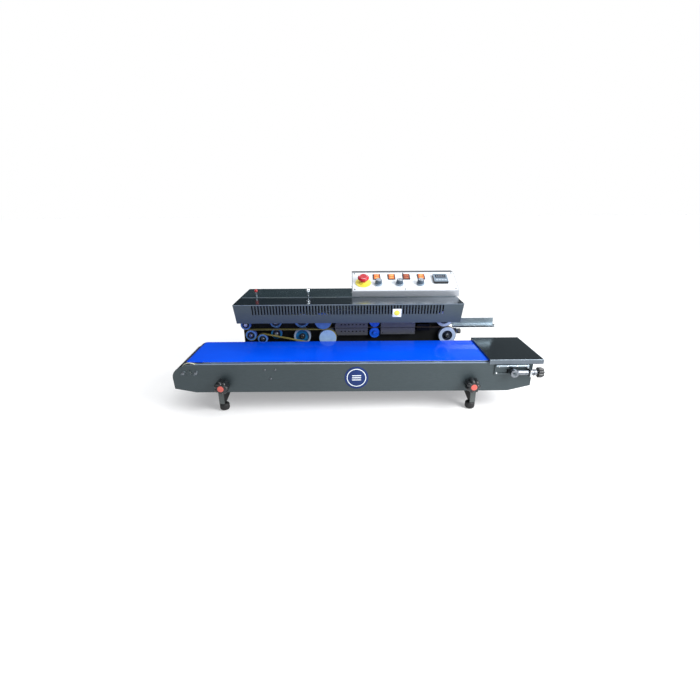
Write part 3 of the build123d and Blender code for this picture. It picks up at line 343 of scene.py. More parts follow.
def band_surface(name, slot, dark, light, rough):
    """Woven band with a sealed face."""
    band = Surface(name, slot)
    cloth = band.weave(0.8 * MM)
    clouds = band.noise(60, (0.3, 2, 1), 4.0)
    tint = band.blend(cloth, dark, light)
    tint = band.blend(band.span(clouds, 0.0, 0.4), tint, dark)
    band.relief(cloth, 0.00006, 0.5)
    return band.finish(tint, band.span(clouds, rough - 0.05, rough + 0.08))


BELT_BLUE = belt_surface()
# Darker blue for the belt's underside and for its faces turning down round the nose: painted shade.
BELT_SHADED = moulded(
    "belt_painted_shade", "conveyor_blue", linear(3, 12, 44), linear(8, 22, 66), 0.55, 900, ior=1.3
)
BAND = band_surface("coated_band", "ptfe_band", linear(60, 48, 36), linear(104, 88, 66), 0.4)
GUIDE_BELT = band_surface("guide_belt", "guide_belt", linear(132, 124, 68), linear(188, 178, 106), 0.5)


def wheel_surface(name, dark, light, rough, metallic=0.0):
    """Cast urethane or anodised wheel face with faint grain."""
    wheel = Surface(name, "wheel_grey" if metallic else "wheel_blue", metallic=metallic, coat=0.15)
    mask = wheel.round_edges(0.6 * MM)
    clouds = wheel.noise(90, (1, 1, 1), 4.0)
    fine = wheel.noise(1600, (1, 1, 1), 2.0)
    tint = wheel.blend(wheel.span(clouds, 0.0, 1.0), dark, light)
    tint = wheel.blend(wheel.join("MULTIPLY", mask, 0.6), tint, light)
    wheel.relief(fine, 0.00004, 0.3)
    return wheel.finish(tint, wheel.span(clouds, rough - 0.06, rough + 0.06))


TYRE_BLUE = wheel_surface("wheel_tyre", linear(40, 66, 150), linear(74, 104, 186), 0.35)
TYRE_BRIGHT = wheel_surface("wheel_bright_blue", linear(18, 92, 232), linear(36, 112, 250), 0.3)
TYRE_PALE = wheel_surface("wheel_pale_blue", linear(146, 164, 194), linear(168, 185, 211), 0.4)
FACE_SILVER = wheel_surface("wheel_silver_face", linear(148, 184, 230), linear(168, 202, 242), 0.45)
FACE_BLUE = wheel_surface("wheel_blue_face", linear(70, 116, 186), linear(92, 138, 206), 0.4)
FACE_TEAL = wheel_surface("wheel_teal_face", linear(14, 100, 160), linear(28, 122, 186), 0.35)
WELL_NAVY = wheel_surface("wheel_well", linear(10, 18, 46), linear(20, 34, 72), 0.45)
HUB_DARK = wheel_surface("wheel_hub", linear(18, 24, 38), linear(38, 46, 62), 0.35)


def paint(node, surface, choose=None):
    """Gives a CAD node its material, and other materials to the faces that choose picks."""
    mesh = NODES[node].data
    order = [surface]
    mesh.materials.clear()
    mesh.materials.append(surface.material)
    for polygon in mesh.polygons:
        polygon.material_index = 0
        if choose is None:
            continue
        other = choose(polygon.center, polygon.normal)
        if other is None:
            continue
        if other not in order:
            order.append(other)
            mesh.materials.append(other.material)
        polygon.material_index = order.index(other)


# ---- piece building -------------------------------------------------------------------------
def spot(origin, right, up):
    """Placement at a point in metres, with its sketch axes along right and up."""
    normal = right.cross(up)
    place = Matrix((right, up, normal)).transposed().to_4x4()
    place.translation = origin
    return place


def moved(place, right=0.0, up=0.0, out=0.0):
    """The placement shifted by millimetres along its own axes."""
    return place @ Matrix.Translation(Vector((right, up, out)) * MM)


def turned(place, angle):
    """The placement turned about its outward axis by degrees."""
    return place @ Matrix.Rotation(radians(angle), 4, "Z")


def disc(radius, count=40):
    """Round outline; its argument is the inset in mm."""
    return lambda inset: [
        ((radius - inset) * cos(2 * pi * i / count), (radius - inset) * sin(2 * pi * i / count))
        for i in range(count)
    ]


def star(radius, dip, lobes, steps=10):
    """Lobed grip outline with narrow valleys."""
    def outline(inset):
        points = []
        for i in range(lobes * steps):
            angle = 2 * pi * i / (lobes * steps)
            reach = radius - inset - dip * (1 - abs(cos(lobes * angle / 2)))
            points.append((reach * cos(angle), reach * sin(angle)))
        return points
    return outline


def pad(width, height, corner, steps=5):
    """Rectangle with rounded corners."""
    def outline(inset):
        radius = max(corner - inset, 0.05)
        points = []
        for quarter, (side, level) in enumerate(((1, 1), (-1, 1), (-1, -1), (1, -1))):
            for step in range(steps + 1):
                angle = (quarter + step / steps) * pi / 2
                across = side * (width / 2 - inset - radius) + radius * cos(angle)
                along = level * (height / 2 - inset - radius) + radius * sin(angle)
                points.append((across, along))
        return points
    return outline


def cross(reach, half_width, count=40):
    """Plus-shaped outline of a screw's drive."""
    def outline(inset):
        points = []
        for i in range(count):
            angle = 2 * pi * i / count
            away = (angle + pi / 4) % (pi / 2) - pi / 4
            radius = min((reach - inset) / cos(away), (half_width - inset) / max(abs(sin(away)), 0.01))
            points.append((radius * cos(angle), radius * sin(angle)))
        return points
    return outline


def rounded(height, edge, foot=0.0, steps=4, base=0.0):
    """Profile of a straight side with a rounded top edge and an optional rounded foot."""
    profile = [(foot, base), (0, base + foot)] if foot else [(0, base)]
    for step in range(steps + 1):
        angle = step / steps * pi / 2
        profile.append((edge * (1 - cos(angle)), base + height - edge + edge * sin(angle)))
    return profile


def thread(length, pitch=1.25, depth=0.5, base=0.0):
    """Profile of a threaded bar."""
    profile = []
    for turn in range(int(length / pitch)):
        profile.append((depth, base + turn * pitch))
        profile.append((0, base + (turn + 0.5) * pitch))
    profile.append((depth, base + length))
    return profile


class Piece:
    """A mesh of stacked outlines in one material."""

    def __init__(self, name, surface):
        self.name = name
        self.surface = surface
        self.mesh = bmesh.new()

    def loft(self, sections, place, hollow=False):
        """Skin over (points, height) sections in mm; a hollow one closes on itself as a ring."""
        rings = []
        for points, height in sections:
            corners = [place @ (Vector((u, v, height)) * MM) for u, v in points]
            rings.append([self.mesh.verts.new(corner) for corner in corners])
        if hollow:
            rings.append(rings[0])
        else:
            self.mesh.faces.new(rings[0][::-1])
            self.mesh.faces.new(rings[-1])
        count = len(rings[0])
        for lower, upper in zip(rings, rings[1:]):
            for i in range(count):
                j = (i + 1) % count
                self.mesh.faces.new((lower[i], lower[j], upper[j], upper[i]))
        return self

    def stack(self, outline, profile, place, hollow=False):
        """Skin over one outline at the (inset, height) steps of a profile."""
        return self.loft([(outline(inset), height) for inset, height in profile], place, hollow)

    def done(self, body, replaces=(), angle=35):
        bmesh.ops.recalc_face_normals(self.mesh, faces=self.mesh.faces)
        for face in self.mesh.faces:
            face.smooth = True
        mesh = bpy.data.meshes.new(self.name)
        self.mesh.to_mesh(mesh)
        self.mesh.free()
        mesh.materials.append(self.surface.material)
        mesh.set_sharp_from_angle(angle=radians(angle))
        piece = bpy.data.objects.new(self.name, mesh)
        bpy.context.scene.collection.objects.link(piece)
        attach(piece, body)
        if replaces:
            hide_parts(*replaces)
        return piece


def centre(node):
    low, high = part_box(node)
    return (low + high) / 2


def panel_face(node):
    """Point on the panel's outward axis through the middle of a node, level with its outer end."""
    points = [v.co for v in NODES[node].data.vertices]
    spans = [[p.dot(axis) for p in points] for axis in (RIGHT, PANEL_UP, PANEL_NORMAL)]
    across, along = [(min(span) + max(span)) / 2 for span in spans[:2]]
    return RIGHT * across + PANEL_UP * along + PANEL_NORMAL * max(spans[2])


def islands(node):
    """(centre, half size) of each separate solid of a CAD node."""
    mesh = bmesh.new()
    mesh.from_mesh(NODES[node].data)
    bmesh.ops.remove_doubles(mesh, verts=mesh.verts, dist=0.00001)
    left = set(mesh.verts)
    found = []
    while left:
        group = [left.pop()]
        for vertex in group:
            for edge in vertex.link_edges:
                other = edge.other_vert(vertex)
                if other in left:
                    left.remove(other)
                    group.append(other)
        low = Vector([min(v.co[axis] for v in group) for axis in range(3)])
        high = Vector([max(v.co[axis] for v in group) for axis in range(3)])
        found.append(((low + high) / 2, (high - low) / 2))
    mesh.free()
    return sorted(found, key=lambda item: tuple(item[0]))


# ---- carried-over CAD nodes -----------------------------------------------------------------
RAIL_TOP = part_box("conveyor_rails")[1].z
GUARD_TOP = 280 * MM
HOOD_TOP = GUARD_TOP - 0.5 * MM
PLAIN_WHEEL_X = centre("wheel_5_upper").x
ROLLER_MIDDLE = centre("drive_roller").y


def rail_faces(point, normal):
    # The rails' top faces get the lighter steel: painted highlight.
    return HIGHLIGHT_STEEL if normal.z > 0.9 and point.z > RAIL_TOP - 0.5 * MM else None


def table_faces(point, normal):
    # The lip's front, back and right-hand end faces get the lighter steel: painted reflection.
    return LIP_REFLECTION_STEEL if abs(normal.y) > 0.9 or normal.x > 0.9 else None


def guard_faces(point, normal):
    # The guard's top flange gets the lighter flange steel: painted highlight.
    if normal.z > 0.9 and point.z > HOOD_TOP:
        return FLANGE_HIGHLIGHT_STEEL
    # Faces inside and under the guard are black: painted shade under the hood.
    return BLACK_PAINT if normal.y > 0.3 or normal.z < -0.5 else None


def lid_faces(point, normal):
    # The lid's sides get the darker rail steel, its hinge strip the lighter flange steel and its top the
    # lighter lid steel: painted shade, painted highlight and painted sheen.
    if abs(normal.z) < 0.5:
        return RAIL_STEEL
    return FLANGE_HIGHLIGHT_STEEL if point.y < 73 * MM else None


def belt_faces(point, normal):
    # Faces under the belt and faces turning down round the nose get the darker blue: painted shade.
    at_nose = normal.x < -0.24 or (abs(normal.y) > 0.9 and point.x < -476 * MM)
    return BELT_SHADED if normal.z < -0.3 or at_nose else None


def bed_faces(point, normal):
    # The bed's end at the nose is black: painted shade where the belt turns down.
    return BLACK_PAINT if point.x < -440 * MM else None


def guide_plate_faces(point, normal):
    return STEEL if point.x > 478 * MM else None


def arbor_faces(point, normal):
    if abs(point.x - PLAIN_WHEEL_X) < 12 * MM:
        return TYRE_BRIGHT
    return DARK_BOLT if 34 * MM < point.y < 49 * MM and normal.y > -0.9 else None


def case_faces(point, normal):
    return CASE_GREY if normal.dot(PANEL_NORMAL) > 0.9 else None


def leg_faces(point, normal):
    if point.z < 21.9 * MM:
        return RUBBER
    # Front faces of the leg get the lighter grey: painted light.
    return LEG_FRONT_LIT_GREY if normal.y < -0.9 else None


def roller_faces(point, normal):
    if abs(point.y - ROLLER_MIDDLE) > 91 * MM:
        return RAIL_STEEL
    return STEEL if abs(normal.y) > 0.9 else None


for node, surface in {
    "base_frame": BLACK_PAINT,
    "housing_feet": RUBBER,
    "mount_wall": BLACK_PAINT,
    "rear_cover": RAIL_STEEL,
    "control_box": BOX_STEEL,
    "control_panel": WHITE_PANEL,
    "rocker_bezels": BEZEL,
    "takeup_slide": STEEL_GREY,
    "idle_roller": STEEL,
    "seal_blocks": ALUMINIUM,
    "block_guards": SHIELD_STEEL,
    "sealing_bands": BAND,
    "guide_belts": GUIDE_BELT,
    "infeed_guide": GUIDE_STEEL,
    "gear_motor": GEARBOX,
    "drive_gear_upper": STEEL,
    "drive_gear_lower": STEEL,
}.items():
    paint(node, surface)

paint("conveyor_rails", RAIL_STEEL, rail_faces)
paint("extension_table", TABLE_STEEL, table_faces)
paint("top_lid", LID_SHEEN_STEEL, lid_faces)
paint("takeup_guides", RAIL_STEEL, guide_plate_faces)
paint("front_guard", GUARD_STEEL, guard_faces)
paint("conveyor_belt", BELT_BLUE, belt_faces)
paint("slider_bed", GUIDE_STEEL, bed_faces)
paint("wheel_arbors", STEEL, arbor_faces)
paint("temperature_controller", BLACK_PLASTIC, case_faces)
paint("estop_collar", YELLOW)
paint("drive_roller", CREAM, roller_faces)
paint("power_inlet", BLACK_PLASTIC)
for number in (1, 2, 3, 4):
    paint(f"rocker_{number}", AMBER_OFF if number == 3 else AMBER)

for side in ("left", "right"):
    paint(f"leg_{side}", BLACK_PAINT, leg_faces)

# Wheels: tyre, front face, well and hub by distance from the axis.
WHEEL_LOOK = {
    "wheel_1_upper": (TYRE_BLUE, FACE_BLUE, WELL_NAVY, 11.5, 6.5),
    "wheel_1_lower": (TYRE_BLUE, FACE_BLUE, WELL_NAVY, 12.0, 6.5),
    "tension_wheel": (TYRE_BLUE, FACE_BLUE, WELL_NAVY, 11.0, 6.5),
    "wheel_2_upper": (TYRE_BLUE, FACE_BLUE, WELL_NAVY, 14.0, 7.0),
    "wheel_2_lower": (TYRE_BLUE, FACE_TEAL, WELL_NAVY, 13.0, 7.0),
    "wheel_3_upper": (TYRE_BLUE, FACE_BLUE, WELL_NAVY, 18.0, 8.0),
    "wheel_3_lower": (TYRE_PALE, TYRE_PALE, FACE_TEAL, 22.0, 8.0),
    "wheel_5_upper": (TYRE_BRIGHT, TYRE_BRIGHT, TYRE_BRIGHT, 7.0, 6.5),
    "wheel_5_lower": (TYRE_BRIGHT, TYRE_BRIGHT, TYRE_BRIGHT, 7.0, 6.5),
    "wheel_6_upper": (TYRE_PALE, TYRE_PALE, WELL_NAVY, 17.0, 8.5),
    "wheel_6_lower": (TYRE_PALE, TYRE_PALE, WELL_NAVY, 17.0, 8.5),
}


def wheel_faces(axis, front_y, face, well, well_r, hub_r):
    """Which material a wheel's face has, from its distance to the axis and its depth."""
    def choose(point, normal):
        away = hypot(point.x - axis.x, point.z - axis.z)
        if away < (hub_r + 0.2) * MM:
            return HUB_DARK
        if away < (well_r + 0.2) * MM and point.y < front_y + 8 * MM:
            return well
        if normal.y < -0.6:
            return face
        return None
    return choose


for node, (tyre, face, well, well_r, hub_r) in WHEEL_LOOK.items():
    low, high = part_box(node)
    axis = (low + high) / 2
    paint(node, tyre, wheel_faces(axis, low.y, face, well, well_r, hub_r))
    front = spot(Vector((axis.x, low.y, axis.z)), RIGHT, UP)
    recessed = well_r > 8
    race = Piece(f"{node}_bearing_ring", HUB_DARK if recessed else TYRE_BRIGHT)
    foot = -3.0 if recessed else -0.6
    profile = [(0, foot), (0.2, foot + 0.9), (1.6, foot + 0.9), (1.8, foot)]
    race.stack(disc(hub_r + 2.6), profile, front, True)
    race.done(node)
    if well_r > 16:
        bolts = Piece(f"{node}_well_screws", DARK_BOLT)
        for turn in range(6):
            angle = turn * pi / 3 + 0.3
            middle = (well_r + hub_r) / 2 + 1.0
            head = moved(front, middle * cos(angle), middle * sin(angle), -well_r / 5 - 0.6)
            bolts.stack(disc(1.7, 20), rounded(1.3, 0.5), head)
        bolts.done(node)

for name, face in (("wheel_4_upper", FACE_BLUE), ("wheel_4_lower", FACE_SILVER)):
    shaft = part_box(name)
    axis = (shaft[0] + shaft[1]) / 2
    radius = (shaft[1].x - shaft[0].x) / 2

    def driven_faces(point, normal, axis=axis, radius=radius, face=face):
        away = hypot(point.x - axis.x, point.z - axis.z)
        if normal.y < -0.6 and point.y < 0.034:
            return face
        return STEEL if away < radius * 0.5 and point.y > 0.069 else None

    paint(name, TYRE_PALE, driven_faces)

# ---- knobs, buttons and dials ---------------------------------------------------------------
LEG_KNOB_REACH = 30
for side in ("left", "right"):
    node = f"leg_knob_{side}"
    middle = centre(node)
    root_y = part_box(node)[0].y + LEG_KNOB_REACH * MM
    root = spot(Vector((middle.x, root_y, middle.z)), RIGHT, UP)
    grip = Piece(f"{node}_grip", BLACK_PLASTIC)
    flank = [(2, 0), (0.5, 0.8), (0, 2.5), (0, 21), (0.5, 23.6)]
    crown = [(2, 26), (4.2, 27.6), (7, 28.3), (9, 28.5)]
    grip.stack(star(20.5, 4.6, 7), flank + crown, root)
    grip.stack(disc(10), [(0, 0.5), (0, -2), (1, -2.8), (1, -5.7)], root)
    grip.done(node, [node])
    cap = Piece(f"{node}_cap", CAP_RED)
    cap.stack(disc(8.8), [(0, 27.6), (0, 28.6), (0.5, 29.3), (2, 29.7), (5, 29.95), (7.5, 30)], root)
    cap.done(node)
    stud = Piece(f"{node}_stud", STEEL)
    stud.stack(disc(4, 24), thread(11, 1.25, 0.5, -16.7), root)
    stud.done(node)

TAKEUP_KNOB_REACH = 17
for end in ("front", "rear"):
    node = f"takeup_knob_{end}"
    middle = centre(node)
    root_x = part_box(node)[1].x - TAKEUP_KNOB_REACH * MM
    root = spot(Vector((root_x, middle.y, middle.z)), BACK, UP)
    grip = Piece(f"{node}_grip", BLACK_PLASTIC)
    profile = [(1.6, 0), (0.3, 0.8), (0, 2.4), (0, 12), (0.5, 14), (2, 15.7), (4, 16.7), (6.5, 17)]
    grip.stack(star(15, 3.4, 7), profile, root)
    grip.done(node, [node])
    cap = Piece(f"{node}_cap", STEEL)
    cap.stack(disc(5.5, 30), rounded(0.8, 0.4, base=16.2), root)
    cap.done(node)
    hub = Piece(f"{node}_hub", STEEL_GREY)
    profile = [(0, -18.7), (0, -14), (1.6, -13), (1.6, -11), (0, -10), (0, -4), (1.8, -2.8), (1.8, 0.6)]
    hub.stack(disc(9), profile, root)
    hub.done(node)

head = moved(spot(panel_face("estop_button"), RIGHT, PANEL_UP), out=-10)
button = Piece("estop_mushroom", RED)
rim = [(4, -0.2), (1, 0.2), (0.1, 1.2), (0, 2.4), (0, 4.6), (0.5, 6.2), (1.8, 7.6)]
crown = [(4, 8.8), (7, 9.5), (10.5, 9.9), (14, 10), (15, 9.7), (18, 9.6)]
button.stack(disc(18.5, 64), rim + crown, head)
button.done("estop_button", ["estop_button"])
stem = Piece("estop_stem", BALL_RED)
stem.stack(disc(8), [(0, -31), (0, -4), (1, -3.4), (1, 0.4)], head)
stem.done("estop_button")
marks = Piece("estop_turn_marks", LABEL_WHITE)
for turn in range(3):
    for step in range(9):
        angle = radians(120 * turn + 7.5 * step)
        mark = moved(head, 13.2 * cos(angle), 13.2 * sin(angle), 9.4)
        marks.stack(disc(0.75, 8), [(0, -0.4), (0, 0.1)], mark)
marks.done("estop_button")

SCALE_START = 235
SCALE_STEP = 27
SCALE_RADIUS = 15.4
for number in (1, 2, 3):
    node = f"dial_{number}"
    axis = PIVOT[f"{node}_turn"]
    root = spot(axis, RIGHT, PANEL_UP)
    heights = [(v.co - axis).dot(PANEL_NORMAL) for v in NODES[node].data.vertices]
    top = moved(root, out=max(heights) / MM)
    skirt = Piece(f"{node}_skirt", SKIRT_GREY)
    profile = [(0.6, -18), (0, -17.4), (0, -14.4), (0.8, -13.4), (3, -12.8), (5, -12.4)]
    skirt.stack(disc(13, 48), profile, top)
    skirt.stack(disc(3, 24), [(0, min(heights) / MM - max(heights) / MM), (0, -15)], top)
    skirt.done(node, [node])
    grip = Piece(f"{node}_grip", DIAL_GREY)
    profile = [(0, -13), (0, -11), (0.5, -2.2), (0.9, -1.0), (1.8, -0.3), (2.4, -0.2)]
    grip.stack(star(11, 0.8, 22, 6), profile, top)
    grip.done(node)
    cap = Piece(f"{node}_cap", SILVER_CAP)
    cap.stack(disc(8.6, 36), [(0, -0.6), (0, -0.15), (0.3, 0), (2.5, -0.1)], top)
    cap.done(node)
    pointer = Piece(f"{node}_pointer", BLACK_PLASTIC)
    aim = turned(top, SCALE_START)
    pointer.stack(pad(7.5, 1.5, 0.4), [(0, -0.5), (0, 0.0)], moved(aim, 5.2))
    pointer.done(node)

# Scale ticks printed round each dial.
ticks = Piece("dial_scale_ticks", BLACK_PLASTIC)
panel_top = max(v.co.dot(PANEL_NORMAL) for v in NODES["control_panel"].data.vertices)
for number in (1, 2, 3):
    axis = PIVOT[f"dial_{number}_turn"]
    axis = axis + PANEL_NORMAL * (panel_top - axis.dot(PANEL_NORMAL))
    root = spot(axis, RIGHT, PANEL_UP)
    for step in range(11):
        long = step % 5 == 0
        length = 3.4 if long else 2.0
        tick = moved(turned(root, SCALE_START - SCALE_STEP * step), SCALE_RADIUS + length / 2)
        ticks.stack(pad(length, 0.8 if long else 0.5, 0.2, 2), [(0, -0.2), (0, 0.06)], tick)
ticks.done("frame")

# Lenses of the four lit rocker switches, one on each half of a rocker's shallow V.
ROCKER_TILT = 8.0
HALF_SLOPE = 4.9
HALF_MIDDLE = 5.85
LENS_SEAT = 3.1
for number in (1, 2, 3, 4):
    node = f"rocker_{number}"
    pivot = spot(PIVOT[f"{node}_tilt"], RIGHT, PANEL_UP) @ Matrix.Rotation(radians(ROCKER_TILT), 4, "X")
    lens = Piece(f"{node}_lenses", AMBER_OFF_LENS if number == 3 else AMBER_LENS)
    for half in (1, -1):
        seat = moved(pivot, 0, half * HALF_MIDDLE, LENS_SEAT)
        seat = seat @ Matrix.Rotation(radians(half * HALF_SLOPE), 4, "X")
        lens.stack(pad(11.5, 7.2, 1.2), [(0, -0.3), (0, 0.15), (0.4, 0.4), (2, 0.5)], seat)
    lens.done(node)

# Temperature controller: window, seven-bar digits and keys.
face = spot(panel_face("temperature_controller"), RIGHT, PANEL_UP)
window = Piece("controller_window", DARK_GLASS)
display = moved(face, 0, 8.6)
window.stack(pad(32, 13, 1.5), [(0, -1.6), (0, -0.7), (0.5, -0.3), (1.5, -0.25)], display)
window.done("frame")
digits = Piece("controller_digits", KEY_GREY)
for column in (-11, -3.7, 3.7, 11):
    for along in (3.4, 0, -3.4):
        bar = moved(display, column, along, -0.22)
        digits.stack(pad(3.4, 0.8, 0.3, 2), [(0, -0.1), (0, 0.04)], bar)
    for across, along in ((1.9, 1.7), (1.9, -1.7), (-1.9, 1.7), (-1.9, -1.7)):
        bar = moved(display, column + across, along, -0.22)
        digits.stack(pad(0.8, 2.8, 0.3, 2), [(0, -0.1), (0, 0.04)], bar)
digits.done("frame")
keys = Piece("controller_keys", KEY_GREY)
for column in (-14, -4.7, 4.7, 14):
    keys.stack(pad(7, 4.6, 1), rounded(1.2, 0.5, base=-0.2), moved(face, column, -13.2))
keys.done("frame")

# Lid screws: a red ball on the left one, a knurled chrome head on the right one.
BALL_R = 5.5
for side in ("left", "right"):
    node = f"lid_screw_{side}"
    middle = centre(node)
    root = spot(Vector((middle.x, middle.y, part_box(node)[1].z)), RIGHT, BACK)
    shaft = Piece(f"{node}_shaft", STEEL_GREY)
    shaft.stack(disc(3, 24), thread(24.8, 1.25, 0.45, -45), root)
    shaft.stack(disc(3, 24), [(0, -20.5), (0, -10.5)], root)
    collar = [(0.3, -24.7), (0, -24.3), (0, -21.6), (0.5, -21), (1.6, -20.4)]
    shaft.stack(disc(4.5, 30), collar, root)
    shaft.done(node, [node])
    if side == "left":
        ball = Piece(f"{node}_ball", BALL_RED)
        turns = [radians(angle) for angle in range(30, 171, 14)]
        arc = [(BALL_R - BALL_R * sin(turn), -BALL_R - BALL_R * cos(turn)) for turn in turns]
        ball.stack(disc(BALL_R, 36), arc, root)
        ball.done(node)
    else:
        knurl = Piece(f"{node}_head", CHROME)
        lower = [(0.6, -11), (0, -10.4), (0, -7.6), (0.8, -7), (0.8, -6.2)]
        upper = [(0, -5.6), (0, -1.4), (0.9, -0.3), (2.5, 0)]
        knurl.stack(star(BALL_R, 0.5, 24, 4), lower + upper, root)
        knurl.done(node)

# Knurled knob of the band tension screw.
middle = centre("band_tension_knob")
root = spot(Vector((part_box("band_tension_knob")[1].x, middle.y, middle.z)), BACK, UP)
knob = Piece("band_tension_knob_grip", BLACK_PLASTIC)
profile = [(0.9, -11), (0, -10.2), (0, -2), (0.8, -0.6), (2.2, 0)]
knob.stack(star(8.5, 0.8, 18, 6), profile, root)
knob.done("band_tension_knob", ["band_tension_knob"])
bar = Piece("band_tension_knob_thread", STEEL)
bar.stack(disc(3, 24), thread(6, 1.0, 0.4, -16.2), root)
bar.stack(disc(4.5, 30), rounded(0.5, 0.2, base=-0.3), root)
bar.done("band_tension_knob")

# ---- folds in the lighter steel: painted highlight ------------------------------------------
def bead(name, body, start, end, radius):
    """Rounded fold of sheet from start to end, in the lighter steel: painted highlight."""
    along = (end - start).normalized()
    across = UP.cross(along).normalized()
    piece = Piece(name, HIGHLIGHT_STEEL)
    length = (end - start).length / MM
    profile = [(0.5 * radius, 0), (0, 0.5 * radius), (0, length - 0.5 * radius), (0.5 * radius, length)]
    piece.stack(disc(radius, 16), profile, spot(start, across, along.cross(across)))
    piece.done(body)


low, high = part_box("front_guard")
fold = 0.9 * MM
bead(
    "guard_fold",
    "front_guard",
    Vector((low.x + fold, low.y + fold, GUARD_TOP - fold)),
    Vector((high.x - fold, low.y + fold, GUARD_TOP - fold)),
    0.9,
)
low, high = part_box("extension_table")
corner = Vector((high.x - fold, low.y + fold, high.z - fold))
bead("table_front_fold", "frame", Vector((low.x + fold, low.y + fold, high.z - fold)), corner, 1.0)
bead("table_end_fold", "frame", corner, Vector((high.x - fold, high.y - fold, high.z - fold)), 1.0)
NOSE_RUN = 43
low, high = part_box("conveyor_rails")
bead(
    "rail_fold",
    "frame",
    Vector((low.x + NOSE_RUN * MM, low.y + fold, high.z - fold)),
    Vector((high.x - fold, low.y + fold, high.z - fold)),
    0.9,
)

# ---- screws ---------------------------------------------------------------------------------
def pan_head(piece, place, radius, height):
    """Domed screw head with a cross drive."""
    count = 40
    round_outline = disc(radius, count)
    drive = cross(radius * 0.6, radius * 0.17, count)
    sections = [
        (round_outline(0), 0),
        (round_outline(0), height * 0.45),
        (round_outline(radius * 0.08), height * 0.7),
        (round_outline(radius * 0.25), height * 0.92),
        (drive(-0.02), height),
        (drive(radius * 0.03), height * 0.35),
    ]
    piece.loft(sections, place)


screws = Piece("fastener_heads", STEEL_GREY)
bolts = Piece("bearing_bolt_heads", STEEL_GREY)
plates = Piece("bearing_bolt_plates", DARK_BOLT)
PANEL_FOOT = 250 * MM
for middle, half in islands("fasteners"):
    if middle.z > PANEL_FOOT:
        pan_head(screws, spot(middle - PANEL_NORMAL * 0.7 * MM, RIGHT, PANEL_UP), 2.6, 1.4)
        continue
    base = spot(Vector((middle.x, middle.y + half.y, middle.z)), RIGHT, UP)
    radius = half.x / MM
    if radius > 4:
        tilt = turned(base, 55)
        plates.stack(pad(19, 9.4, 4.6), rounded(0.8, 0.3), tilt)
        bolts.stack(disc(4.4, 36), rounded(1.2, 0.2, base=0.7), tilt)
        bolts.stack(disc(3.9, 6), [(0, 1.1), (0, 2.7), (0.5, 3.0)], tilt)
    else:
        pan_head(screws, base, radius, 2.0 if radius > 2.6 else 1.4)
screws.done("frame", ["fasteners"])
bolts.done("frame")
plates.done("frame")

rear = Piece("cover_screws", CHROME)
low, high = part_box("rear_cover")
for across in (0.04, 0.35, 0.65, 0.96):
    for level in (low.z + 10 * MM, high.z - 23.5 * MM):
        place = spot(Vector((low.x + across * (high.x - low.x), high.y, level)), -RIGHT, UP)
        pan_head(rear, place, 3.2, 1.9)
for end_x, right in ((low.x, -BACK), (high.x, BACK)):
    for depth in (low.y + 18 * MM, high.y - 18 * MM):
        for level in (low.z + 12 * MM, high.z - 38.5 * MM):
            pan_head(rear, spot(Vector((end_x, depth, level)), right, UP), 3.2, 1.9)
low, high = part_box("control_box")
for end_x, right in ((low.x, -BACK), (high.x, BACK)):
    for depth in (low.y + 19 * MM, high.y - 13 * MM):
        pan_head(rear, spot(Vector((end_x, depth, low.z + 9 * MM)), right, UP), 2.4, 1.5)
for across in (0.1, 0.9):
    place = spot(Vector((low.x + across * (high.x - low.x), high.y, low.z + 30 * MM)), -RIGHT, UP)
    pan_head(rear, place, 2.6, 1.6)
rear.done("frame")

# ---- badge and label, both blank ------------------------------------------------------------
BADGE_X = -1.25 * MM
BADGE_Z = 105 * MM
badge_place = spot(Vector((BADGE_X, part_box("conveyor_rails")[0].y, BADGE_Z)), RIGHT, UP)
badge = Piece("round_badge", BADGE_BLUE)
badge.stack(disc(34, 96), [(0, 0), (0, 0.35), (0.3, 0.6), (1.0, 0.7)], badge_place)
badge.done("frame")
ring = Piece("round_badge_ring", LABEL_WHITE)
ring.stack(disc(27.5, 96), [(0, 0.5), (0, 0.85), (2.2, 0.85), (2.2, 0.5)], badge_place, True)
for row in (-6.5, 0, 6.5):
    ring.stack(pad(26, 2.6, 1.2), [(0, 0.5), (0, 0.85)], moved(badge_place, 0, row))
ring.done("frame")

LABEL_X = 125.9 * MM
LABEL_DROP = 29 * MM
GUARD_LEAN = 10 / 61.5
guard_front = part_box("front_guard")[0].y
guard_tilt = atan2(GUARD_LEAN, 1)
guard_up = Vector((0, -cos(guard_tilt), -sin(guard_tilt))).cross(RIGHT)
label_middle = Vector((LABEL_X, guard_front + LABEL_DROP * GUARD_LEAN, GUARD_TOP - LABEL_DROP))
label_place = spot(label_middle, RIGHT, guard_up)
label = Piece("guard_label", LABEL_WHITE)
label.stack(pad(27, 27, 1.5), [(0, 0), (0, 0.25), (0.15, 0.35)], label_place)
label.done("front_guard")
patch = Piece("guard_label_patch", YELLOW)
patch.stack(disc(9.0, 48), [(0, 0.2), (0, 0.45), (0.1, 0.5)], label_place)
patch.done("front_guard")

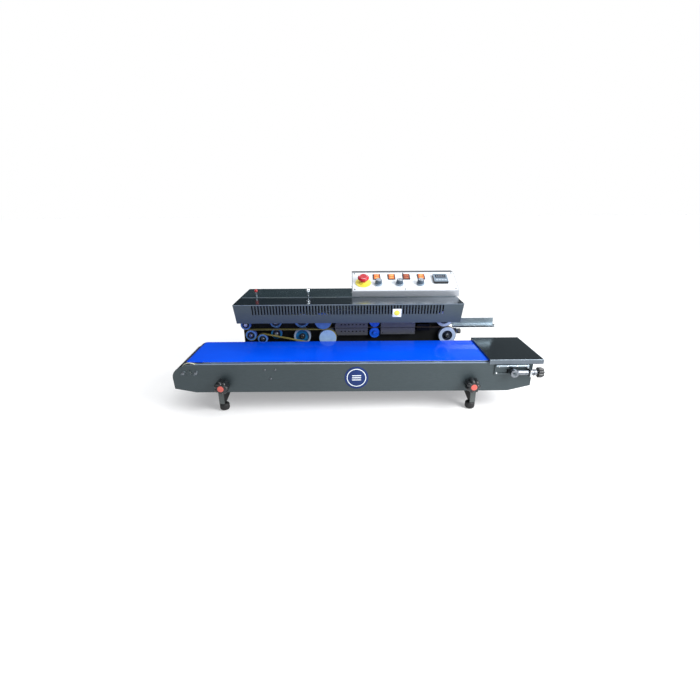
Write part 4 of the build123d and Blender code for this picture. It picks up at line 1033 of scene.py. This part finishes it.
# ---- take-up details ------------------------------------------------------------------------
ROD_INSET = 10 * MM
RIB_INSET = 23 * MM
RIB_DROP = 2.8 * MM
axle = PIVOT["idle_roller_spin"]
guides_low, guides_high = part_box("takeup_guides")
rib_x = (guides_low.x + guides_high.x) / 2
for name, side, outward in (("front", 0, -1), ("rear", 1, 1)):
    right = RIGHT if outward < 0 else -RIGHT
    boss_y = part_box("takeup_slide")[side].y
    boss_face = spot(Vector((axle.x, boss_y, axle.z)), right, UP)
    boss = Piece(f"takeup_boss_{name}", STEEL_GREY)
    barrel = [(0, -14), (0.4, -13.6), (0.4, -13), (0, -12.6), (0, -1.2)]
    lip = [(1.0, 0.1), (3.2, 0.2), (3.6, -0.6)]
    boss.stack(disc(11, 48), barrel + lip, boss_face)
    boss.done("takeup_slide")
    inlay = Piece(f"takeup_boss_inlay_{name}", DARK_BOLT)
    inlay.stack(disc(7.3, 40), [(0, -0.9), (0, -0.5), (0.4, -0.35), (4, -0.3)], boss_face)
    inlay.done("takeup_slide")
    bolt = Piece(f"takeup_boss_bolt_{name}", DARK_BOLT)
    bolt.stack(disc(5.0, 6), [(0, -0.8), (0, 1.6), (0.7, 2.0)], boss_face)
    bolt.done("takeup_slide")
    rod_y = boss_y - outward * ROD_INSET
    rod = spot(Vector((axle.x + ROD_INSET, rod_y, axle.z)), BACK, UP)
    sleeve = Piece(f"takeup_rod_sleeve_{name}", STEEL_GREY)
    profile = [(0.8, 0), (0, 0.8), (0, 6), (0.9, 6.8), (0.9, 8), (0, 8.8), (0, 27.8), (1.2, 29)]
    sleeve.stack(disc(7, 36), profile, rod)
    sleeve.done("takeup_slide")
    plate_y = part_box("takeup_guides")[side].y - outward * RIB_INSET
    rib = Piece(f"takeup_rib_{name}", GUIDE_STEEL)
    rib_place = spot(Vector((rib_x, plate_y, guides_high.z - RIB_DROP)), right, UP)
    rib.stack(pad(92, 5.4, 1), rounded(5, 1), rib_place)
    rib.done("frame")
    heads = Piece(f"takeup_rib_screws_{name}", CHROME)
    for across in (-38, -14, 12, 36):
        pan_head(heads, moved(rib_place, across, 0, 5), 2.2, 1.4)
    for across in (-42, 34):
        pan_head(heads, moved(rib_place, across, -22.6, 0), 2.4, 1.4)
    heads.done("frame")

# ---- steel plates on the feet ---------------------------------------------------------------
for middle, half in islands("housing_feet"):
    ring = Piece(f"housing_foot_plate_{int(middle.x > 0)}{int(middle.y > 0.14)}", STEEL)
    place = spot(Vector((middle.x, middle.y, middle.z + half.z)), RIGHT, BACK)
    ring.stack(disc(15.2, 40), [(0, -2.2), (0, -0.8), (0.4, -0.1), (2, 0)], place)
    ring.done("frame")

# ---- floor, light, camera -------------------------------------------------------------------
def shade_world():
    """Soft studio: pale all round, dim low behind the machine, white where the camera sees it."""
    world = bpy.data.worlds.new("studio")
    bpy.context.scene.world = world
    world.use_nodes = True
    nodes = world.node_tree.nodes
    links = world.node_tree.links
    direction = nodes.new("ShaderNodeTexCoord").outputs["Generated"]
    axes = nodes.new("ShaderNodeSeparateXYZ")
    links.new(direction, axes.inputs[0])

    def ramp(output, start, end):
        node = nodes.new("ShaderNodeMapRange")
        node.interpolation_type = "SMOOTHSTEP"
        links.new(axes.outputs[output], node.inputs["Value"])
        node.inputs["From Min"].default_value = start
        node.inputs["From Max"].default_value = end
        return node.outputs["Result"]

    def mix(share, first, second):
        node = nodes.new("ShaderNodeMix")
        node.data_type = "RGBA"
        links.new(share, node.inputs["Factor"])
        for socket, value in ((node.inputs[6], first), (node.inputs[7], second)):
            if isinstance(value, tuple):
                socket.default_value = value
            else:
                links.new(value, socket)
        return node.outputs[2]

    behind = mix(ramp("X", -0.25, 0.6), (0.035, 0.05, 0.06, 1), (0.2, 0.22, 0.24, 1))
    upper = mix(ramp("Z", 0.42, 0.85), behind, (1.3, 1.31, 1.33, 1))
    front = mix(ramp("X", -0.35, 0.4), (0.26, 0.27, 0.29, 1), (0.68, 0.7, 0.73, 1))
    whole = mix(ramp("Y", 0.1, -0.6), upper, front)
    studio = nodes["Background"]
    links.new(whole, studio.inputs["Color"])
    backdrop = nodes.new("ShaderNodeBackground")
    backdrop.inputs["Color"].default_value = (1, 1, 1, 1)
    choice = nodes.new("ShaderNodeMixShader")
    links.new(nodes.new("ShaderNodeLightPath").outputs["Is Camera Ray"], choice.inputs["Fac"])
    links.new(studio.outputs[0], choice.inputs[1])
    links.new(backdrop.outputs[0], choice.inputs[2])
    links.new(choice.outputs[0], nodes["World Output"].inputs["Surface"])


def add_light(name, kind, location, target, energy, size):
    data = bpy.data.lights.new(name, kind)
    data.energy = energy
    if kind == "SUN":
        data.angle = size
    else:
        data.shape = "DISK"
        data.size = size
    light = bpy.data.objects.new(name, data)
    light.location = location
    light.rotation_euler = (Vector(target) - Vector(location)).to_track_quat("-Z", "Y").to_euler()
    bpy.context.scene.collection.objects.link(light)


def add_floor():
    mesh = bmesh.new()
    bmesh.ops.create_grid(mesh, x_segments=8, y_segments=8, size=12.0)
    data = bpy.data.meshes.new("floor")
    mesh.to_mesh(data)
    mesh.free()
    floor = bpy.data.objects.new("floor", data)
    floor.location.z = -0.0005
    bpy.context.scene.collection.objects.link(floor)
    paper = Surface("floor_paper", "white_panel")
    grain = paper.noise(6, (1, 1, 1), 3.0)
    tint = paper.blend(paper.span(grain, 0.0, 1.0), (0.66, 0.66, 0.66, 1), (0.68, 0.68, 0.68, 1))
    paper.finish(tint, paper.span(grain, 0.85, 0.95))
    paper.shader.inputs["Specular IOR Level"].default_value = 0.0
    paper.shader.inputs["Emission Color"].default_value = (1, 1, 1, 1)
    paper.shader.inputs["Emission Strength"].default_value = 0.34
    data.materials.append(paper.material)


shade_world()
add_floor()
add_light("sun_key", "SUN", (1.5, -0.1, 2.2), (0, 0, 0), 1.05, radians(50))
add_light("box_right", "AREA", (1.15, -0.85, 0.9), (0.2, 0, 0.15), 30, 0.9)

PITCH = 0.3581
ROLL = -0.0069
camera_data = bpy.data.cameras.new("camera")
camera_data.lens = 21.12
camera_data.sensor_width = 36
camera = bpy.data.objects.new("camera", camera_data)
bpy.context.scene.collection.objects.link(camera)
ahead = Vector((0, cos(PITCH), -sin(PITCH)))
level_up = Vector((0, sin(PITCH), cos(PITCH)))
camera_right = RIGHT * cos(ROLL) + level_up * sin(ROLL)
camera_up = -RIGHT * sin(ROLL) + level_up * cos(ROLL)
camera_place = Matrix((camera_right, camera_up, -ahead)).transposed().to_4x4()
camera_place.translation = Vector((-0.01915, -1.2405, 0.5875))
camera.matrix_world = camera_place
bpy.context.scene.camera = camera
bpy.context.scene.view_settings.view_transform = "Standard"
bpy.context.scene.view_settings.look = "None"

bpy.context.view_layer.update()
